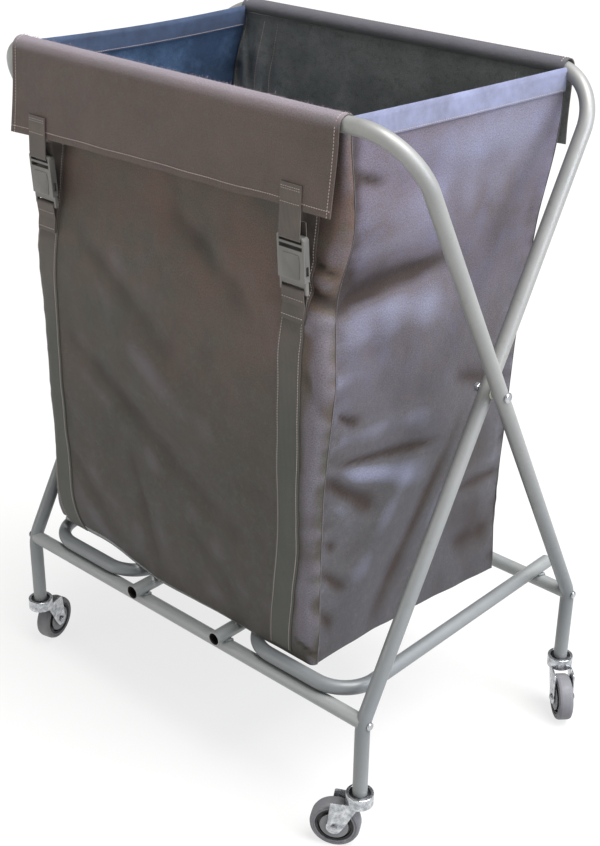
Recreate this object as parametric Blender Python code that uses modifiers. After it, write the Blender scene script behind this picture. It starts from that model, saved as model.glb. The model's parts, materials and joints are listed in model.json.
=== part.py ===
"""Folding linen trolley: two crossed tube frames on castors, with a cloth bag hung between their top bars.

Metres, +Z up. +X runs along the trolley, -Y is its front. The origin is on the floor under its middle.
The inner frame carries the rear top bar and stands on the front castors. The outer frame carries the
front top bar and stands on the rear castors. They turn on two pivot bolts where the legs cross.
"""

from math import atan2, cos, pi, radians, sin, tan

import bmesh
import bpy
from mathutils import Matrix, Vector

# ---- Driving dimensions -------------------------------------------------------------------------

SEAT_GAP = 0.0003           # left between pieces that touch

TUBE_D = 0.022              # every frame tube
TUBE_WALL = 0.0015
TUBE_SIDES = 12
BEND_STEPS = 5

OUTER_HALF_LENGTH = 0.387   # outer frame's leg axes, from the middle
BAR_HALF_DEPTH = 0.221      # top bars' axes, from the middle
BAR_HEIGHT = 1.0495
KNEE_HALF_DEPTH = 0.241     # knees of the legs, from the middle
KNEE_HEIGHT = 0.2205
LEG_FOOT_HEIGHT = 0.0880    # open lower end of each leg
TOP_BEND = 0.080            # bend radii on the tube's axis
KNEE_BEND = 0.060
LOOP_BEND = 0.058

LOOP_INNER_ARM = 0.119      # outer base loops, arm axes from the middle
LOOP_OUTER_ARM = 0.329
CENTRE_LOOP_ARM = 0.091
LOOP_SETBACK = 0.005        # loop's closed end, inside the rail that it lands on
LOOP_OVERHANG = 0.025       # loop's open ends, past the rail that they are welded to

PIVOT_BOLT_D = 0.008
PIVOT_HEAD_D = 0.015
PIVOT_HEAD_H = 0.0042
PIVOT_NUT_D = 0.0145
PIVOT_NUT_H = 0.006
PIVOT_BOLT_TIP = 0.0015
PIVOT_WASHER_D = 0.018
PIVOT_WASHER_H = 0.0012
HOLE_CLEARANCE = 0.0002     # round a bolt, on the radius
BOLT_SIDES = 12

RAIL_BOLT_D = 0.006
RAIL_BOLT_HEAD_D = 0.012
RAIL_BOLT_HEAD_H = 0.0034
RAIL_BOLT_LENGTH = 0.042
RAIL_PLUG_LENGTH = 0.020    # threaded plugs welded into the rail's ends
WELD_DEPTH = 0.0006         # how far a welded plug runs into the wall
RAIL_VENT_D = 0.003
RAIL_VENT_PAST_PLUG = 0.003

WHEEL_D = 0.075
TYRE_WIDTH = 0.023
TYRE_CROWN = 0.0045         # rounding of the tread's shoulders
TYRE_SEAT_D = 0.0575        # where the tyre sits on the core
WHEEL_STEPS = 20
CORE_RIM_WIDTH = 0.0200
CORE_RIM_WALL = 0.0035
CORE_WEB_WIDTH = 0.012
HUB_D = 0.017
HUB_WIDTH = 0.0235
GUARD_D = 0.0428            # thread guard discs, moulded with the core
GUARD_WALL = 0.0012
AXLE_SLEEVE_D = 0.0084
AXLE_BOLT_D = 0.006
AXLE_HEAD_D = 0.011
AXLE_HEAD_H = 0.0036
RUNNING_GAP = 0.0003        # wheel on its sleeve, sleeve between the cheeks
TRAIL = 0.034
SWIVEL_STEPS = 16
CUP_D = 0.041
CUP_WALL = 0.0024
CUP_HEIGHT = 0.0190
CUP_LIP = 0.0048            # rim turned inward
CROWN_WALL = 0.0025
WHEEL_TO_CROWN = 0.0035     # free height over the wheel
STEM_PIN_D = 0.008
STEM_HEAD_D = 0.013
STEM_HEAD_H = 0.0018
STEM_LENGTH = 0.034
PLUG_IN_TUBE_GAP = 0.0005
COLLAR_D = 0.0305           # stem's collar round the leg's end, inside the cup's lip
COLLAR_BELOW_LIP = 0.0010
CHEEK_WALL = 0.0025
CHEEK_HALF = 0.0153         # middle of each fork cheek from the wheel's middle
CHEEK_TOP_RISE = 0.0045     # cheek's upper edge above the crown
CHEEK_TOP_REACH = 0.037     # upper edge's far end, from the swivel axis
CHEEK_END_R = 0.0115        # round end of the cheek at the axle
HEADINGS = {"front_left": 105.6, "front_right": 209.5, "rear_left": 150.0, "rear_right": -43.8}

BAG_SHIFT = -0.022          # the bag sits a little left of the middle on its bars
BAG_TO_LEGS = 0.082             # each end of the bag, in from the outer frame's legs
BAG_CLOTH = 0.002
BAG_FRONT_INSIDE_BAR = 0.0035   # front panel's outer face, in from its bar's inner side
FRONT_BELLY = 0.0285            # how far the front panel leans out at its fullest
FRONT_BELLY_START = 0.1145      # heights on the front panel, down from its top
FRONT_BELLY_FULL = 0.302
FRONT_BELLY_END = 0.712
FRONT_FLOOR_LEAN = 0.014        # what is left of the lean at the floor
BAG_REAR_INSIDE_BAR = 0.0085    # the same at the rear, clear of the bar's left bend
BAG_REAR_LOW_DEPTH = 0.1865     # rear panel's outer face at the floor
BAG_BELOW_BAR = 0.0075          # front and rear panels end under the flaps
BAG_SIDE_ABOVE_BAR = 0.0005     # top of the side panels, from the bars' axes
HEM_DEPTH = 0.030
HEM_CLOTH = 0.0032              # folded edge of the side panels
FLAP_CLOTH = 0.0015
FLAP_SLACK = 0.003              # between the flap's skirts and the bar
FLAP_DROP = 0.130               # outer skirt, from the bar's top
FLAP_TUCK = 0.006               # inner skirt, below the bar's axis
FLAP_PAST_BEND = 0.024          # end of a flap, past the start of the bar's bend
FLAP_OVERLAP = 0.004            # front flap's right end, past the bag

FRONT_STRAP_SHIFT = -0.034      # the pair's middle, a little left of the bag's at the front
REAR_STRAP_SHIFT = 0.0
STRAP_FROM_END = 0.0565         # each strap's middle, in from the end of the bag
STRAP_WIDTH = 0.038
STRAP_CLOTH = 0.0016
STRAP_LAP = 0.030               # sewn on the flap above its lower edge
STRAP_TAIL = 0.018              # end turned back behind the socket's bar
WEBBING_FLOOR_GAP = 0.008       # lower end above the bag's floor
WEBBING_ANCHOR = 0.050          # where the webbing leaves the panel, below the buckle's joint
WEBBING_TURN = 0.022            # end turned back in front of the plug's bar

BUCKLE_BELOW_BAR = 0.2095       # where plug and socket meet
BUCKLE_WIDTH = 0.046
BUCKLE_THICKNESS = 0.010
SOCKET_HEIGHT = 0.060
SOCKET_CORNER = 0.003
SOCKET_CAVITY_HEIGHT = 0.031
SOCKET_WALL = 0.0030
SOCKET_SKIN = 0.0021
LADDER_SLOT_HEIGHT = 0.0055
LADDER_BAR = 0.0035
WINDOW_LOW = 0.008
WINDOW_HIGH = 0.021
PLUG_BASE_HEIGHT = 0.0175
PLUG_CLEARANCE = 0.0005
PLUG_NECK = 0.002
PLUG_PRONG_WIDTH = 0.005
PLUG_PRONG_LENGTH = 0.028
PLUG_TONGUE_WIDTH = 0.006
PLUG_TONGUE_LENGTH = 0.024
PLUG_BAR = 0.004

# ---- Worked out from them -----------------------------------------------------------------------

TUBE_R = TUBE_D / 2
BORE_R = TUBE_R - TUBE_WALL
INNER_HALF_LENGTH = OUTER_HALF_LENGTH - TUBE_D - PIVOT_WASHER_H - 2 * SEAT_GAP

leg_run = BAR_HALF_DEPTH + KNEE_HALF_DEPTH
leg_rise = BAR_HEIGHT - KNEE_HEIGHT
leg_lean = atan2(leg_run, leg_rise)
PIVOT_HEIGHT = KNEE_HEIGHT + leg_rise * KNEE_HALF_DEPTH / leg_run

# The bend pulls the tube's axis off the knee's corner, along the corner's bisector.
knee_pull = KNEE_BEND * (1 / cos(leg_lean / 2) - 1)
RAIL_DEPTH = KNEE_HALF_DEPTH - knee_pull * cos(leg_lean / 2)
RAIL_HEIGHT = KNEE_HEIGHT - knee_pull * sin(leg_lean / 2)
LOOP_HEIGHT = RAIL_HEIGHT + TUBE_D + SEAT_GAP

WHEEL_R = WHEEL_D / 2
CROWN_HEIGHT = WHEEL_D + WHEEL_TO_CROWN

BAG_HALF_LENGTH = OUTER_HALF_LENGTH - BAG_TO_LEGS
BAG_TOP = BAR_HEIGHT - BAG_BELOW_BAR
BAG_SIDE_TOP = BAR_HEIGHT + BAG_SIDE_ABOVE_BAR
STRAP_SPACING = BAG_HALF_LENGTH - STRAP_FROM_END
BUCKLE_JOINT_HEIGHT = BAR_HEIGHT - BUCKLE_BELOW_BAR
BAG_LEFT = BAG_SHIFT - BAG_HALF_LENGTH
BAG_RIGHT = BAG_SHIFT + BAG_HALF_LENGTH
BAG_FLOOR = LOOP_HEIGHT + TUBE_R + SEAT_GAP
FRONT_DEPTH = BAR_HALF_DEPTH - TUBE_R - BAG_FRONT_INSIDE_BAR
REAR_DEPTH = BAR_HALF_DEPTH - TUBE_R - BAG_REAR_INSIDE_BAR

# ---- Scene, collections and materials -----------------------------------------------------------

for old in list(bpy.data.objects):
    bpy.data.objects.remove(old, do_unlink=True)


def new_collection(name):
    made = bpy.data.collections.new(name)
    bpy.context.scene.collection.children.link(made)
    return made


trolley = new_collection("linen_trolley")
cutters = new_collection("cutters")


def material(name, colour, roughness, metallic=0.0):
    made = bpy.data.materials.new(name)
    made.use_nodes = True
    shader = made.node_tree.nodes["Principled BSDF"]
    shader.inputs["Base Color"].default_value = (*colour, 1.0)
    shader.inputs["Roughness"].default_value = roughness
    shader.inputs["Metallic"].default_value = metallic
    made.diffuse_color = (*colour, 1.0)
    return made


frame_paint = material("frame_paint", (0.62, 0.63, 0.64), 0.38, 0.35)
zinc = material("zinc", (0.66, 0.67, 0.69), 0.25, 1.0)
bolt_steel = material("bolt_steel", (0.55, 0.56, 0.58), 0.3, 1.0)
washer_nylon = material("washer_nylon", (0.75, 0.75, 0.72), 0.5)
stem_steel = material("stem_steel", (0.10, 0.10, 0.11), 0.45, 1.0)
core_plastic = material("core_plastic", (0.03, 0.03, 0.03), 0.55)
tyre_rubber = material("tyre_rubber", (0.16, 0.16, 0.17), 0.75)
bag_cloth = material("bag_cloth", (0.12, 0.10, 0.09), 0.8)
flap_cloth = material("flap_cloth", (0.11, 0.09, 0.08), 0.8)
webbing_cloth = material("webbing_cloth", (0.14, 0.12, 0.11), 0.85)
buckle_plastic = material("buckle_plastic", (0.13, 0.13, 0.12), 0.45)

# ---- Modelling functions ------------------------------------------------------------------------


def add(name, data, look=None, collection=trolley):
    made = bpy.data.objects.new(name, data)
    collection.objects.link(made)
    if look:
        made.data.materials.append(look)
    return made


def empty(name, location=(0, 0, 0), rotation=(0, 0, 0), parent=None):
    made = add(name, None)
    made.location = location
    made.rotation_euler = rotation
    made.parent = parent
    return made


def as_mesh(source):
    """The object's evaluated mesh in world space, with loose caps welded on."""
    bpy.context.view_layer.update()
    seen = source.evaluated_get(bpy.context.evaluated_depsgraph_get())
    mesh = bpy.data.meshes.new_from_object(seen)
    mesh.transform(source.matrix_world)
    work = bmesh.new()
    work.from_mesh(mesh)
    bmesh.ops.remove_doubles(work, verts=work.verts, dist=0.00001)
    work.to_mesh(mesh)
    work.free()
    return mesh


def smooth(piece, angle=40.0):
    piece.data.shade_smooth()
    piece.data.set_sharp_from_angle(angle=radians(angle))


def combine(piece, other, operation):
    """Boolean with an object that then only guides: a cutter, or a shape that is joined on."""
    for old in list(other.users_collection):
        old.objects.unlink(other)
    cutters.objects.link(other)
    other.hide_render = True
    other.display_type = "WIRE"
    step = piece.modifiers.new(operation.lower(), "BOOLEAN")
    step.operation = operation
    step.solver = "EXACT"
    step.object = other


def rounded_path(corners, radii):
    """The corners joined by straight runs, with an arc of the given radius at each inner corner."""
    corners = [Vector(c) for c in corners]
    path = [corners[0]]
    for before, corner, after, radius in zip(corners, corners[1:], corners[2:], radii):
        into, out = (before - corner).normalized(), (after - corner).normalized()
        half = into.angle(out) / 2
        centre = corner + (into + out).normalized() * radius / sin(half)
        start = corner + into * radius / tan(half) - centre
        end = corner + out * radius / tan(half) - centre
        turn = start.angle(end)
        for step in range(BEND_STEPS + 1):
            part = step / BEND_STEPS
            path.append(centre + (start * sin((1 - part) * turn) + end * sin(part * turn)) / sin(turn))
    path.append(corners[-1])
    return path


def rod(name, path, radius, look=None, collection=trolley):
    """A round bar along the path, as a mesh."""
    curve = bpy.data.curves.new(name, "CURVE")
    curve.dimensions = "3D"
    curve.bevel_depth = radius
    curve.bevel_resolution = (TUBE_SIDES - 4) // 2
    curve.use_fill_caps = True
    spline = curve.splines.new("POLY")
    spline.points.add(len(path) - 1)
    for point, place in zip(spline.points, path):
        point.co = (*place, 1.0)
    guide = add(name + "_curve", curve)
    mesh = as_mesh(guide)
    bpy.data.objects.remove(guide, do_unlink=True)
    return add(name, mesh, look, collection)


def tube(name, corners, radii=()):
    """A bent frame tube with open ends."""
    path = rounded_path(corners, radii)
    piece = rod(name, path, TUBE_R, frame_paint)
    path[0] = path[0] + (path[0] - path[1]).normalized() * TUBE_WALL
    path[-1] = path[-1] + (path[-1] - path[-2]).normalized() * TUBE_WALL
    combine(piece, rod(name + "_bore", path, BORE_R, collection=cutters), "DIFFERENCE")
    smooth(piece)
    return piece


def turned(name, profile, look, steps, closed=False):
    """A profile of (radius, height) pairs turned about the object's Z axis."""
    mesh = bpy.data.meshes.new(name)
    count = len(profile)
    edges = [(n, n + 1) for n in range(count - 1)] + ([(count - 1, 0)] if closed else [])
    mesh.from_pydata([(r, 0, z) for r, z in profile], edges, [])
    piece = add(name, mesh, look)
    screw = piece.modifiers.new("turn", "SCREW")
    screw.steps = steps
    screw.render_steps = steps
    screw.use_merge_vertices = True
    screw.merge_threshold = 0.00001
    screw.use_smooth_shade = True
    return piece


def pipe(name, outer, inner, low, high, look, steps=SWIVEL_STEPS):
    """A plain ring."""
    return turned(name, [(inner, high), (outer, high), (outer, low), (inner, low)], look, steps, closed=True)


def drill(piece, name, start, end, radius):
    """A round hole through a piece, between two points."""
    combine(piece, rod(name, [Vector(start), Vector(end)], radius), "DIFFERENCE")


def outline(name, points, thickness, look, collection=trolley):
    """A flat outline in the object's XY plane, with its thickness along Z."""
    curve = bpy.data.curves.new(name, "CURVE")
    curve.dimensions = "2D"
    curve.fill_mode = "BOTH"
    curve.extrude = thickness / 2
    spline = curve.splines.new("POLY")
    spline.points.add(len(points) - 1)
    for point, (x, y) in zip(spline.points, points):
        point.co = (x, y, 0, 1.0)
    spline.use_cyclic_u = True
    return add(name, curve, look, collection)


def plate(name, points, thickness, look, placing):
    """The same as a mesh, ready to be cut or joined."""
    shape = outline(name + "_outline", points, thickness, None)
    shape.matrix_world = placing
    mesh = as_mesh(shape)
    bpy.data.objects.remove(shape, do_unlink=True)
    return add(name, mesh, look)


# Turns an outline's (x, y) into the trolley's (Y, Z), its thickness along X.
SIDEWAYS = Matrix(((0, 0, 1, 0), (1, 0, 0, 0), (0, 1, 0, 0), (0, 0, 0, 1)))
# The same for an outline seen from the front: (x, y) into (X, Z), its thickness along Y.
UPRIGHT = Matrix(((1, 0, 0, 0), (0, 0, -1, 0), (0, 1, 0, 0), (0, 0, 0, 1)))


def band(path, cloth):
    """The closed outline of a sheet of the given thickness whose middle follows the path."""
    path = [Vector(p) for p in path]
    one, other = [], []
    for n, place in enumerate(path):
        ahead = path[min(n + 1, len(path) - 1)]
        behind = path[max(n - 1, 0)]
        first = (place - behind).normalized() if n else (ahead - place).normalized()
        last = (ahead - place).normalized() if n < len(path) - 1 else first
        normal = Vector((-(first + last).y, (first + last).x)).normalized()
        reach = cloth / 2 / max(0.5, normal.dot(Vector((-first.y, first.x))))
        one.append(place + normal * reach)
        other.append(place - normal * reach)
    return [tuple(p) for p in one + other[::-1]]


def sheet(name, path, cloth, x_middle, width, look):
    """A cloth sheet: a path in the trolley's (Y, Z), as wide as given along X."""
    piece = outline(name, band(path, cloth), width, look)
    piece.matrix_world = Matrix.Translation((x_middle, 0, 0)) @ SIDEWAYS
    return piece


def box(name, low, high, collection=cutters):
    bpy.ops.mesh.primitive_cube_add(size=1)
    made = bpy.context.active_object
    made.name = name
    size = [b - a for a, b in zip(low, high)]
    middle = [(a + b) / 2 for a, b in zip(low, high)]
    made.data.transform(Matrix.Translation(middle) @ Matrix.Diagonal((*size, 1)))
    for old in list(made.users_collection):
        old.objects.unlink(made)
    collection.objects.link(made)
    return made


# ---- Bent tube frames ---------------------------------------------------------------------------


def leg_frame(name, half_length, knee_side):
    """An upturned U: its knees on one side of the trolley (-1 front, 1 rear), its top bar on the other."""
    knee_y, bar_y = knee_side * KNEE_HALF_DEPTH, -knee_side * BAR_HALF_DEPTH
    half = [
        (half_length, knee_y, LEG_FOOT_HEIGHT),
        (half_length, knee_y, KNEE_HEIGHT),
        (half_length, bar_y, BAR_HEIGHT),
    ]
    corners = half + [(-x, y, z) for x, y, z in reversed(half)]
    piece = tube(name, corners, (KNEE_BEND, TOP_BEND, TOP_BEND, KNEE_BEND))
    for side in (-1, 1):
        near, far = side * (half_length - TUBE_D), side * (half_length + TUBE_D)
        rail_y = knee_side * RAIL_DEPTH
        holes = (("pivot", 0, PIVOT_HEIGHT, PIVOT_BOLT_D), ("rail", rail_y, RAIL_HEIGHT, RAIL_BOLT_D))
        for hole, y, z, bolt_d in holes:
            drill(piece, f"{name}_{hole}_hole_{side}", (near, y, z), (far, y, z), bolt_d / 2 + HOLE_CLEARANCE)
    return piece


leg_frame("inner_frame_tube", INNER_HALF_LENGTH, -1)
leg_frame("outer_frame_tube", OUTER_HALF_LENGTH, 1)


def rail(name, half_length, knee_side):
    """A straight tube between two knees: plugged ends, tapped for bolts and cut to the knees' round sides."""
    y, knee_y = knee_side * RAIL_DEPTH, knee_side * KNEE_HALF_DEPTH
    reach = half_length - TUBE_R / 2
    piece = tube(name, [(-reach, y, RAIL_HEIGHT), (reach, y, RAIL_HEIGHT)])
    foot, head = KNEE_HEIGHT - TOP_BEND, KNEE_HEIGHT + TOP_BEND
    head_y = knee_y - knee_side * (head - KNEE_HEIGHT) * tan(leg_lean)
    for side in (-1, 1):
        x, plug_x = side * half_length, side * (half_length - TUBE_R - RAIL_PLUG_LENGTH)
        plug = rod(f"{name}_plug_{side}", [Vector((side * (reach - TUBE_WALL), y, RAIL_HEIGHT)),
                                           Vector((plug_x, y, RAIL_HEIGHT))], BORE_R + WELD_DEPTH)
        combine(piece, plug, "UNION")
        bore_r = RAIL_BOLT_D / 2 + HOLE_CLEARANCE
        past_plug = plug_x - side * TUBE_WALL
        drill(piece, f"{name}_thread_{side}", (x, y, RAIL_HEIGHT), (past_plug, y, RAIL_HEIGHT), bore_r)
        leg = rounded_path([(x, knee_y, foot), (x, knee_y, KNEE_HEIGHT), (x, head_y, head)], [KNEE_BEND])
        combine(piece, rod(f"{name}_cope_{side}", leg, TUBE_R + SEAT_GAP), "DIFFERENCE")
    return piece


front_rail = rail("front_rail", INNER_HALF_LENGTH, -1)
rail("rear_rail", OUTER_HALF_LENGTH, 1)
vent_x = INNER_HALF_LENGTH - TUBE_R - RAIL_PLUG_LENGTH - RAIL_VENT_PAST_PLUG
vent_mouth = (vent_x, -RAIL_DEPTH - TUBE_D, RAIL_HEIGHT)
drill(front_rail, "front_rail_vent", vent_mouth, (vent_x, -RAIL_DEPTH, RAIL_HEIGHT), RAIL_VENT_D / 2)


def base_loop(name, arm_left, arm_right, weld_side):
    """A U of tube: open ends on the rail it is welded to, closed end landing on the other rail."""
    open_y = weld_side * (RAIL_DEPTH + LOOP_OVERHANG)
    closed_y = -weld_side * (RAIL_DEPTH - LOOP_SETBACK)
    corners = [(arm_left, open_y), (arm_left, closed_y), (arm_right, closed_y), (arm_right, open_y)]
    tube(name, [(x, y, LOOP_HEIGHT) for x, y in corners], (LOOP_BEND, LOOP_BEND))


base_loop("centre_base_loop", -CENTRE_LOOP_ARM, CENTRE_LOOP_ARM, -1)
base_loop("left_base_loop", -LOOP_OUTER_ARM, -LOOP_INNER_ARM, 1)
base_loop("right_base_loop", LOOP_INNER_ARM, LOOP_OUTER_ARM, 1)

# ---- Pivot bolts, and the bolts that hold the rails ---------------------------------------------


def facing(piece, x, y, z, side):
    """Lays a turned piece along X, with its top pointing out of the trolley's end."""
    piece.location = (x, y, z)
    piece.rotation_euler = (0, side * pi / 2, 0)


def dome(radius, height):
    """Profile of a domed bolt head, from its top down to its seat at height 0."""
    turns = [0, pi / 6, pi / 3, pi / 2]
    return [(radius * sin(a), height * (0.35 + 0.65 * cos(a))) for a in turns] + [(radius, 0)]


def bolt(name, head_d, head_h, shank_d, length):
    shank = [(shank_d / 2, 0), (shank_d / 2, -length), (0, -length)]
    return turned(name, dome(head_d / 2, head_h) + shank, bolt_steel, BOLT_SIDES)


pivot_reach = OUTER_HALF_LENGTH + TUBE_R + SEAT_GAP
nut_seat = INNER_HALF_LENGTH - TUBE_R - SEAT_GAP
washer_seat = INNER_HALF_LENGTH + TUBE_R + SEAT_GAP
pivot_length = pivot_reach - nut_seat + PIVOT_NUT_H + PIVOT_BOLT_TIP
pivot_bore = PIVOT_BOLT_D / 2 + HOLE_CLEARANCE
nut_bore = pivot_bore / cos(pi / 6)     # its hexagon's flats clear the bolt
for side, label in ((-1, "left"), (1, "right")):
    piece = bolt(f"{label}_pivot_bolt", PIVOT_HEAD_D, PIVOT_HEAD_H, PIVOT_BOLT_D, pivot_length)
    facing(piece, side * pivot_reach, 0, PIVOT_HEIGHT, side)
    nut = pipe(f"{label}_pivot_nut", PIVOT_NUT_D / 2, nut_bore, -PIVOT_NUT_H, 0, bolt_steel, 6)
    facing(nut, side * nut_seat, 0, PIVOT_HEIGHT, side)
    washer = pipe(f"{label}_pivot_washer", PIVOT_WASHER_D / 2, pivot_bore, 0, PIVOT_WASHER_H, washer_nylon,
                  BOLT_SIDES)
    facing(washer, side * washer_seat, 0, PIVOT_HEIGHT, side)
    for place, half_length, knee_side in (("front", INNER_HALF_LENGTH, -1), ("rear", OUTER_HALF_LENGTH, 1)):
        piece = bolt(f"{place}_{label}_rail_bolt", RAIL_BOLT_HEAD_D, RAIL_BOLT_HEAD_H, RAIL_BOLT_D,
                     RAIL_BOLT_LENGTH)
        seat = half_length + TUBE_R + SEAT_GAP
        facing(piece, side * seat, knee_side * RAIL_DEPTH, RAIL_HEIGHT, side)

# ---- Castors ------------------------------------------------------------------------------------


def castor_stem(name):
    """Fixed in the leg: a plug in its bore, a collar round its end, and the swivel pin with its head."""
    plug_r, pin_r, head_r = BORE_R - PLUG_IN_TUBE_GAP, STEM_PIN_D / 2, STEM_HEAD_D / 2
    collar_in, collar_out = TUBE_R + SEAT_GAP, COLLAR_D / 2
    plug_top = LEG_FOOT_HEIGHT + STEM_LENGTH
    groove = LEG_FOOT_HEIGHT - SEAT_GAP
    collar_top = CROWN_HEIGHT + CUP_HEIGHT - COLLAR_BELOW_LIP
    collar_low = CROWN_HEIGHT + CROWN_WALL + RUNNING_GAP
    head_top = CROWN_HEIGHT - RUNNING_GAP
    profile = [
        (0, plug_top),
        (plug_r * 0.8, plug_top),
        (plug_r, plug_top - plug_r * 0.4),
        (plug_r, groove),
        (collar_in, groove),
        (collar_in, collar_top),
        (collar_out, collar_top - COLLAR_BELOW_LIP),
        (collar_out, collar_low),
        (pin_r, collar_low),
        (pin_r, head_top),
        (head_r, head_top),
        (head_r, head_top - STEM_HEAD_H),
        (0, head_top - STEM_HEAD_H),
    ]
    return turned(name, profile, stem_steel, SWIVEL_STEPS)


def castor_fork(name):
    """Pressed fork: a cup with its rim turned in, a crown under it, and two cheeks down to the axle."""
    r, lip = CUP_D / 2, CUP_D / 2 - CUP_LIP
    inner, hole = r - CUP_WALL, STEM_PIN_D / 2 + HOLE_CLEARANCE
    floor, top = CROWN_HEIGHT + CROWN_WALL, CROWN_HEIGHT + CUP_HEIGHT
    profile = [
        (hole, floor),
        (inner, floor),
        (inner, top - CUP_WALL),
        (lip, top - CUP_WALL),
        (lip, top),
        (r - CUP_WALL, top),
        (r, top - CUP_WALL),
        (r, CROWN_HEIGHT),
        (hole, CROWN_HEIGHT),
    ]
    piece = turned(name, profile, zinc, SWIVEL_STEPS, closed=True)
    crown, rise = CROWN_HEIGHT - WHEEL_R, CROWN_HEIGHT - WHEEL_R + CHEEK_TOP_RISE
    end = [radians(a) for a in range(-145, 36, 30)]
    points = [(TRAIL + CHEEK_END_R * cos(a), CHEEK_END_R * sin(a)) for a in end]
    points += [
        (CHEEK_TOP_REACH + CHEEK_TOP_RISE, crown * 0.7),
        (CHEEK_TOP_REACH + CHEEK_TOP_RISE / 2, rise - CHEEK_TOP_RISE / 2),
        (CHEEK_TOP_REACH, rise),
        (STEM_PIN_D, rise),
        (STEM_PIN_D, crown + CROWN_WALL / 2),
        (-CUP_D / 8, crown + CROWN_WALL / 2),
        (-CUP_D / 8, crown),
    ]
    for side in (-1, 1):
        placing = Matrix.Translation((0, side * CHEEK_HALF, WHEEL_R)) @ UPRIGHT
        cheek = plate(f"{name}_cheek_{side}", points, CHEEK_WALL, None, placing)
        combine(piece, cheek, "UNION")
        cheek.parent = piece
    bore = rod(f"{name}_axle_hole", [Vector((TRAIL, -CUP_D, WHEEL_R)), Vector((TRAIL, CUP_D, WHEEL_R))],
               AXLE_BOLT_D / 2 + HOLE_CLEARANCE)
    combine(piece, bore, "DIFFERENCE")
    bore.parent = piece
    return piece


def castor_axle(name):
    """Domed bolt, its sleeve between the cheeks and the nut at its far end, tightened into one."""
    seat, inside = CHEEK_HALF + CHEEK_WALL / 2 + SEAT_GAP, CHEEK_HALF - CHEEK_WALL / 2 - RUNNING_GAP
    head_r, bolt_r, sleeve_r = AXLE_HEAD_D / 2, AXLE_BOLT_D / 2, AXLE_SLEEVE_D / 2
    profile = [(r, seat + z) for r, z in dome(head_r, AXLE_HEAD_H)]
    profile += [(bolt_r, seat), (bolt_r, inside), (sleeve_r, inside), (sleeve_r, -inside), (bolt_r, -inside)]
    profile += [(bolt_r, -seat), (head_r, -seat), (head_r, -seat - AXLE_HEAD_H), (0, -seat - AXLE_HEAD_H)]
    return turned(name, profile, bolt_steel, BOLT_SIDES)


# Brings the flats of a turned wheel out to its real radius.
FACET_TRUE = 1 / cos(pi / WHEEL_STEPS)


def wheel_tyre(name):
    outer, seat, half = WHEEL_R * FACET_TRUE, TYRE_SEAT_D / 2, TYRE_WIDTH / 2
    turn = [radians(a) for a in (90, 45, 0)]
    upper = [(outer - TYRE_CROWN * (1 - cos(a)), half - TYRE_CROWN * (1 - sin(a))) for a in turn]
    profile = [(seat, half)] + upper + [(r, -z) for r, z in reversed(upper)] + [(seat, -half)]
    return turned(name, profile, tyre_rubber, WHEEL_STEPS, closed=True)


def wheel_core(name):
    """Moulded core: rim, web, hub and thread guards in one, bored for the sleeve."""
    rim_r, rim_half, web_half = TYRE_SEAT_D / 2 - SEAT_GAP, CORE_RIM_WIDTH / 2, CORE_WEB_WIDTH / 2
    hub_r, hub_half, guard_r = HUB_D / 2, HUB_WIDTH / 2, GUARD_D / 2
    rim_in = rim_r - CORE_RIM_WALL
    bore = AXLE_SLEEVE_D / 2 + RUNNING_GAP
    side = [
        (bore, hub_half + GUARD_WALL),
        (guard_r, hub_half + GUARD_WALL),
        (guard_r, hub_half),
        (hub_r, hub_half),
        (hub_r, web_half),
        (rim_in, web_half),
        (rim_in, rim_half),
    ]
    profile = side + [(rim_r, rim_half), (rim_r, -rim_half)] + [(r, -z) for r, z in reversed(side)]
    return turned(name, profile, core_plastic, WHEEL_STEPS, closed=True)


for corner, heading in HEADINGS.items():
    at_front, at_right = corner.startswith("front"), corner.endswith("right")
    half_length = INNER_HALF_LENGTH if at_front else OUTER_HALF_LENGTH
    x = half_length if at_right else -half_length
    y = -KNEE_HALF_DEPTH if at_front else KNEE_HALF_DEPTH
    foot = empty(f"{corner}_foot", (x, y, 0))
    swivel = empty(f"{corner}_swivel", (x, y, 0), (0, 0, radians(heading)))
    axle = empty(f"{corner}_wheel", (TRAIL, 0, WHEEL_R), (pi / 2, 0, 0), swivel)
    castor_stem(f"{corner}_castor_stem").parent = foot
    castor_fork(f"{corner}_castor_fork").parent = swivel
    castor_axle(f"{corner}_castor_axle").parent = axle
    for part in (wheel_core(f"{corner}_wheel_core"), wheel_tyre(f"{corner}_tyre")):
        part.parent = axle
        part.rotation_euler = (0, 0, pi / WHEEL_STEPS)

# ---- Bag ----------------------------------------------------------------------------------------

floor_mid = BAG_FLOOR + BAG_CLOTH / 2
bag_length = 2 * BAG_HALF_LENGTH
floor_length = bag_length - 2 * (BAG_CLOTH + SEAT_GAP)      # sewn in between the side panels

# Outer faces of the two long panels, from the top down, as depths from the middle and heights.
# The front panel's slanted lower edge stays clear of the loops.
front_profile = [
    (FRONT_DEPTH, BAG_TOP),
    (FRONT_DEPTH, BAG_TOP - FRONT_BELLY_START),
    (FRONT_DEPTH + FRONT_BELLY, BAG_TOP - FRONT_BELLY_FULL),
    (FRONT_DEPTH + FRONT_BELLY, BAG_TOP - FRONT_BELLY_END),
    (FRONT_DEPTH + FRONT_FLOOR_LEAN, BAG_FLOOR + SEAT_GAP),
]
rear_profile = [(REAR_DEPTH, BAG_TOP), (BAG_REAR_LOW_DEPTH, BAG_FLOOR)]


def face(profile, z):
    """Depth of a panel's outer face at a height."""
    runs = list(zip(profile, profile[1:]))
    (high_depth, high), (low_depth, low) = next((run for run in runs if z >= run[1][1]), runs[-1])
    return low_depth + (z - low) * (high_depth - low_depth) / (high - low)


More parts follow.
